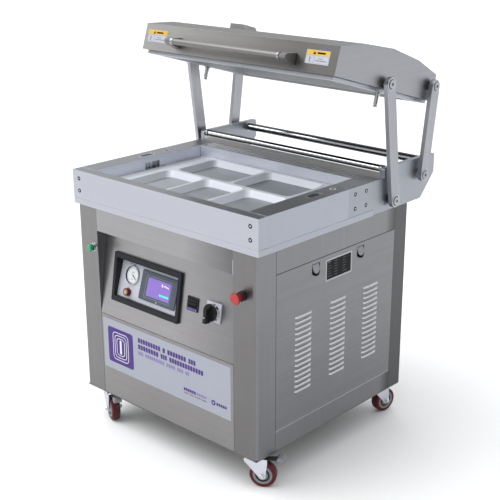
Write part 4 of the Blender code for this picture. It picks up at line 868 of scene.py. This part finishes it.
unit = Piece("controller_face", "machine_body", "black", PANEL @ shift(0, 0, CONTROLLER_FACE))
x0, x1, z0, z1 = CONTROLLER
unit.add(outline(x0 + 0.0008, x1 - 0.0008, z0 + 0.0008, z1 - 0.0008, 0.0010, -0.0002, 0.0006, 0.002),
         bezel_black)
unit.add(slab(x0 + 0.0050, x1 - 0.0050, z0 + 0.0120, z1 - 0.0050, -0.0002, 0.0003, 0.001, 0.0001),
         hole_shade_black)
DIGIT, DIGIT_PITCH = (0.0045, 0.0068), 0.0080
for z in (z1 - 0.0115, z1 - 0.0220):
    for i in range(4):
        x = x0 + 0.0085 + i * DIGIT_PITCH
        unit.add(outline(x, x + DIGIT[0], z - DIGIT[1] / 2, z + DIGIT[1] / 2, 0.0006, 0, 0.0005, 0.0008),
                 faint_grey)
for i in range(5):
    x = x0 + 0.0040 + i * 0.0080
    unit.add(slab(x, x + 0.0050, 0.1166, 0.1216, 0, 0.0007, 0.001, 0.0002), key_purple)
for i in range(2):
    unit.add(spin([(0.0010, 0), (0.0010, 0.0005), (0.0006, 0.0008)], 12), print_grey,
             shift(x0 + 0.0036, z1 - 0.0110 - i * 0.0095))
unit.finish()

# Painted shade: black patches on the boss stand in for its slots.
slots = Piece("switch_slots", "machine_body", "dark", PANEL @ shift(*SWITCH))
for degrees, half in ((43, 0.0052), (74, 0.0034), (-42, 0.0034), (180, 0.0040)):
    wall = Matrix.Rotation(math.radians(degrees), 4, "Z") @ to_space(Y, Z, (BOSS_RADIUS, 0, 0.0118))
    slots.add(slab(-half, half, -0.0030, 0.0030, -0.0014, 0.0002, 0.0022, 0.0001), hole_shade_black, wall)
slots.finish()

knob = Piece("knob_trim", "switch_knob", "white", PANEL @ shift(*SWITCH))
knob.add(ring_shape(KNOB_RADIUS - 0.0022, KNOB_RADIUS - 0.0012, 0.0216, 0.0229, 0.0003, 40), bezel_black)
cap = shift(0, -0.0120, 0.0405)
knob.add(spin([(0.0042, -0.0040), (0.0042, 0.0020), (0.0034, 0.0028)], 20), black, cap)
knob.add(spin([(0.0026, 0.0010), (0.0026, 0.0032), (0.0016, 0.0036)], 16), chrome, cap)
knob.finish()

sleeve = Piece("start_sleeve", "machine_body", "chrome",
               to_space(X, Z, (middle("start_button").x, DOOR, middle("start_button").z)))
# The sleeve's bore is painted black: painted shade.
sleeve.add(spin([(0.0082, 0.0003), (0.0140, 0.0003), (0.0140, 0.0026), (0.0132, 0.0032), (0.0125, 0.0034),
                 (0.0125, 0.0104), (0.0120, 0.0110), (0.0108, 0.0110), (0.0104, 0.0104), (0.0100, 0.0080),
                 (0.0082, 0.0078)], 36, closed=True),
           [chrome] * 7 + [hole_shade_black] * 4)
sleeve.finish()

# ---------------- lid
PRINT, OVERPRINT = (0.0003, 0.0006), (0.0005, 0.0008)
for side, x0, x1 in (("left", -0.386, -0.296), ("right", 0.285, 0.371)):
    sign = Piece("lid_label_" + side, "lid", "white", LID_FACE @ shift(x0, 0.0255))
    width, height = x1 - x0, 0.0400
    sign.add(slab(0, width, 0, height, -0.0002, 0.0004, 0.002, 0.0001), sign_white)
    sign.add(slab(0.001, width - 0.001, height - 0.0145, height - 0.001, *PRINT, 0.0015, 0.0001),
             print_yellow)
    sign.add(polygon([(0.0245, height - 0.0125), (0.0355, height - 0.0125), (0.0300, height - 0.0030)],
                     *OVERPRINT), print_black)
    dashes(sign, print_black, 0.0400, height - 0.0080, 0.0048, (0.030,), 0.002, *OVERPRINT)
    for left, right in ((0.0015, 0.0300), (0.0330, width - 0.0015)):
        sign.add(outline(left, right, 0.0015, height - 0.0160, 0.0004, *PRINT, 0.001), print_grey)
    sign.add(ring_shape(0.0022, 0.0034, *PRINT, 0.0001, 20), print_black, shift(0.0160, 0.0165))
    sign.add(slab(0.0150, 0.0170, 0.0040, 0.0125, *PRINT, 0.0008, 0.0001), print_black)
    dashes(sign, print_grey, 0.0450, 0.0160, 0.0020, (0.018,), 0.002, *PRINT)
    dashes(sign, print_grey, 0.0380, 0.0100, 0.0026, (0.012, 0.026), 0.002, *PRINT)
    sign.finish()

grip = Piece("handle_trim", "lid", "stainless", LID)
HANDLE, HANDLE_END = (-0.040, 0.0325), 0.2268  # the handle's axis and the foot of its brackets
for side in (-1, 1):
    at = Matrix.Translation((side * HANDLE_END, *HANDLE)) @ to_space(side * Y, Z, (0, 0, 0))
    grip.add(spin([(0.0099, -0.0090), (0.0108, -0.0084), (0.0108, -0.0020), (0.0114, -0.0006),
                   (0.0099, -0.0004)], 32, closed=True), cap_steel, at)
    for x in (side * 0.2330, side * 0.2450):
        grip.add(slab(x - 0.0022, x + 0.0022, 0.0150, 0.0500, -0.0004, 0.0022, 0.0020, 0.0010), cap_steel,
                 to_space(X, Z, (0, -0.0004, 0)))
grip.finish()

# ---------------- arms
ARM_FACE = 0.4254  # outer face of the arms' pivot caps
CAP_RADIUS, DISC_RADIUS = 0.0139, 0.0196
SPACER_END = 0.4110  # inner face of the rear arms


def pivot_discs(name, body, pivots):
    """A black ring painted as the shade in the gap, a bright ring and a socket painted black as shade, round
    each pivot's cap, on both sides.
    """
    discs = Piece(name, body, "chrome")
    for y, z in pivots:
        for mirror in (AS_IS, MIRROR):
            at = mirror @ to_space(Y, Z, (ARM_FACE, y, z))
            discs.add(ring_shape(CAP_RADIUS, 0.0150, -0.0002, 0.0010, 0.0002, 40), hole_shade_black, at)
            discs.add(ring_shape(0.0150, DISC_RADIUS, -0.0002, 0.0014, 0.0005, 40), disc_steel, at)
            discs.add(spin([(0.0046, 0.0016), (0.0046, 0.0019), (0.0026, 0.0019, 6), (0.0026, 0.0005, 6)]),
                      hole_shade_black, at)
    return discs


front_pivots = [middle(node).yz for node in ("arm_shaft", "upper_pin_right")]
pivot_discs("front_arm_discs", "front_arms", front_pivots).finish()
low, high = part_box("rear_arm_right")
reach = ARM_WIDTH / 2
top_pivot = (high.y - reach, high.z - reach)
discs = pivot_discs("rear_arm_discs", "rear_arms", [(low.y + reach, low.z + reach), top_pivot])
for mirror in (AS_IS, MIRROR):
    discs.add(ring_shape(0.0128, 0.0142, 0.0, SPACER_END - LID_HALF - 0.0014), pin_steel,
              mirror @ to_space(Y, Z, (LID_HALF + 0.0014, *top_pivot)))
discs.finish()

# ---------------- casters
WHEEL, WIDTH = 0.0415, 0.029


def wheel_profile():
    """The turned outline of a wheel and the finish of each band, from its outer face to its inner one."""
    edge = WIDTH / 2
    near = [(0.0046, 0.0016), (0.0112, 0.0014), (0.0118, 0.0002), (0.0168, -0.0010), (0.0178, -0.0046),
            (0.0214, -0.0046), (0.0224, -0.0008), (0.0232, 0.0), (0.0296, 0.0), (0.0305, -0.0010),
            (0.0312, 0.0), (0.0368, -0.0002), (0.0398, -0.0014), (0.0411, -0.0036), (0.0415, -0.0070)]
    finishes = [zinc] * 2 + [hub_grey] + [soft_black] * 3 + [hub_grey] * 3 + [soft_black] + [tread_red] * 4
    profile = [(radius, -edge - height) for radius, height in near]
    profile += [(WHEEL, edge - 0.0105)]
    profile += [(radius, edge + height) for radius, height in reversed(near)]
    inner_side = [tread_red] + [soft_black] * 4 + finishes[10::-1]
    return profile, finishes + inner_side


profile, finishes = wheel_profile()
for name in CORNERS:
    roll = joints[name + "_roll"]
    hub = to_space(Z.cross(Vector(roll["axis"])), Z, roll["pos_m"])
    wheel = Piece(name + "_wheel_detail", name + "_wheel", "pu", hub)
    wheel.add(spin(profile, 56, closed=True), finishes)
    wheel.finish(replaces=[name + "_wheel"])

    trim = Piece(name + "_fork_trim", name + "_caster", "zinc", hub)
    reach = WIDTH / 2 + 0.0060
    for turn in (AS_IS, Matrix.Rotation(math.pi, 4, "Y")):
        trim.add(spin([(0.0100, 0.0), (0.0100, 0.0010), (0.0082, 0.0012), (0.0080, 0.0013, 6),
                       (0.0080, 0.0046, 6), (0.0066, 0.0056), (0.0058, 0.0072), (0.0036, 0.0086),
                       (0.0014, 0.0090)]), zinc, turn @ shift(0, 0, reach - 0.0002))
    trim.finish()


for name in CORNERS[:2]:
    brake = joints[name + "_brake"]
    outward = Vector(brake["axis"]).cross(Z)
    tip = Piece(name + "_pedal_tip", name + "_pedal", "black", to_space(outward, Z, brake["pos_m"]))
    tip.add(slab(0.0340, 0.0584, -0.0049, 0.0139, -0.0129, 0.0129, 0.0074, 0.0012), pedal_grey)
    tip.finish()


# ---------------- studio
def studio():
    bm = bmesh.new()
    bmesh.ops.create_grid(bm, x_segments=8, y_segments=8, size=300.0)
    mesh = bpy.data.meshes.new("studio_floor")
    bm.to_mesh(mesh)
    bm.free()
    floor = put_in_scene("studio_floor", mesh)
    mesh.materials.append(plastic("pale_floor", (0.86, 0.86, 0.86), 0.75, 40.0, 0.0, 0.0, 0.0))

    # A dark disc that only glossy rays see: painted shadow on the floor round the machine, seen in
    # reflections.
    card_mesh = bpy.data.meshes.new("shade_card")
    bm = bmesh.new()
    bmesh.ops.create_circle(bm, cap_ends=True, segments=48, radius=2.6)
    bm.to_mesh(card_mesh)
    bm.free()
    card = put_in_scene("shade_card", card_mesh)
    card.location = (0.1, 0.0, 0.0012)
    card.visible_camera = card.visible_diffuse = card.visible_shadow = False
    shade, tree, _ = blank("shade_card")
    place = add_node(tree, "TexCoord").outputs["Object"]
    reach = add_node(tree, "VectorMath", {0: place}, operation="LENGTH").outputs["Value"]
    cover = remap(tree, reach, 0.6, 2.5, 0.15, 0.0)
    dark = add_node(tree, "Emission", {"Color": (0.16, 0.16, 0.165, 1.0)}).outputs[0]
    clear = add_node(tree, "BsdfTransparent").outputs[0]
    blend = add_node(tree, "MixShader", {0: cover, 1: clear, 2: dark}).outputs[0]
    tree.links.new(blend, tree.nodes["Material Output"].inputs["Surface"])
    card_mesh.materials.append(shade)

    world = bpy.data.worlds.new("studio")
    bpy.context.scene.world = world
    world.use_nodes = True
    tree = world.node_tree
    background = tree.nodes["Background"]
    direction = add_node(tree, "TexCoord").outputs["Generated"]
    height = part_of(tree, direction, 2)
    across = add_node(tree, "VectorMath", {0: direction, 1: (-0.80, 0.25, 0.0)},
                      operation="DOT_PRODUCT").outputs["Value"]
    level = remap(tree, height, 0.02, 0.85, 0.26, 1.45)
    level = maths(tree, "MULTIPLY", level, spread(tree, across, 1.0, 1.22))
    seen = add_node(tree, "LightPath").outputs["Is Camera Ray"]
    tree.links.new(mixed(tree, "FLOAT", seen, level, 1.0), background.inputs["Strength"])
    background.inputs["Color"].default_value = (0.97, 0.985, 1.0, 1.0)

    sun = bpy.data.lights.new("soft_sun", "SUN")
    sun.energy = 1.75
    sun.angle = math.radians(55)
    lamp = put_in_scene("soft_sun", sun)
    lamp.rotation_euler = (Vector((0, 0, 0)) - Vector((-1.5, -1.3, 2.6))).to_track_quat("-Z", "Y").to_euler()


def camera():
    data = bpy.data.cameras.new("camera")
    data.sensor_width = 36.0
    data.lens = 74.96
    data.clip_start, data.clip_end = 0.05, 900.0
    eye = put_in_scene("camera", data)
    yaw, pitch, roll = (math.radians(angle) for angle in (42.79, 19.11, -0.17))
    ahead = Vector((-math.sin(yaw) * math.cos(pitch), math.cos(yaw) * math.cos(pitch), -math.sin(pitch)))
    right = ahead.cross(Z).normalized()
    up = right.cross(ahead)
    turned_right = math.cos(roll) * right + math.sin(roll) * up
    turned_up = math.cos(roll) * up - math.sin(roll) * right
    columns = Matrix((turned_right, turned_up, -ahead)).transposed().to_4x4()
    eye.matrix_world = Matrix.Translation((2.1996, -2.3866, 1.7074)) @ columns
    bpy.context.scene.camera = eye


studio()
camera()
bpy.context.scene.view_settings.view_transform = "Standard"
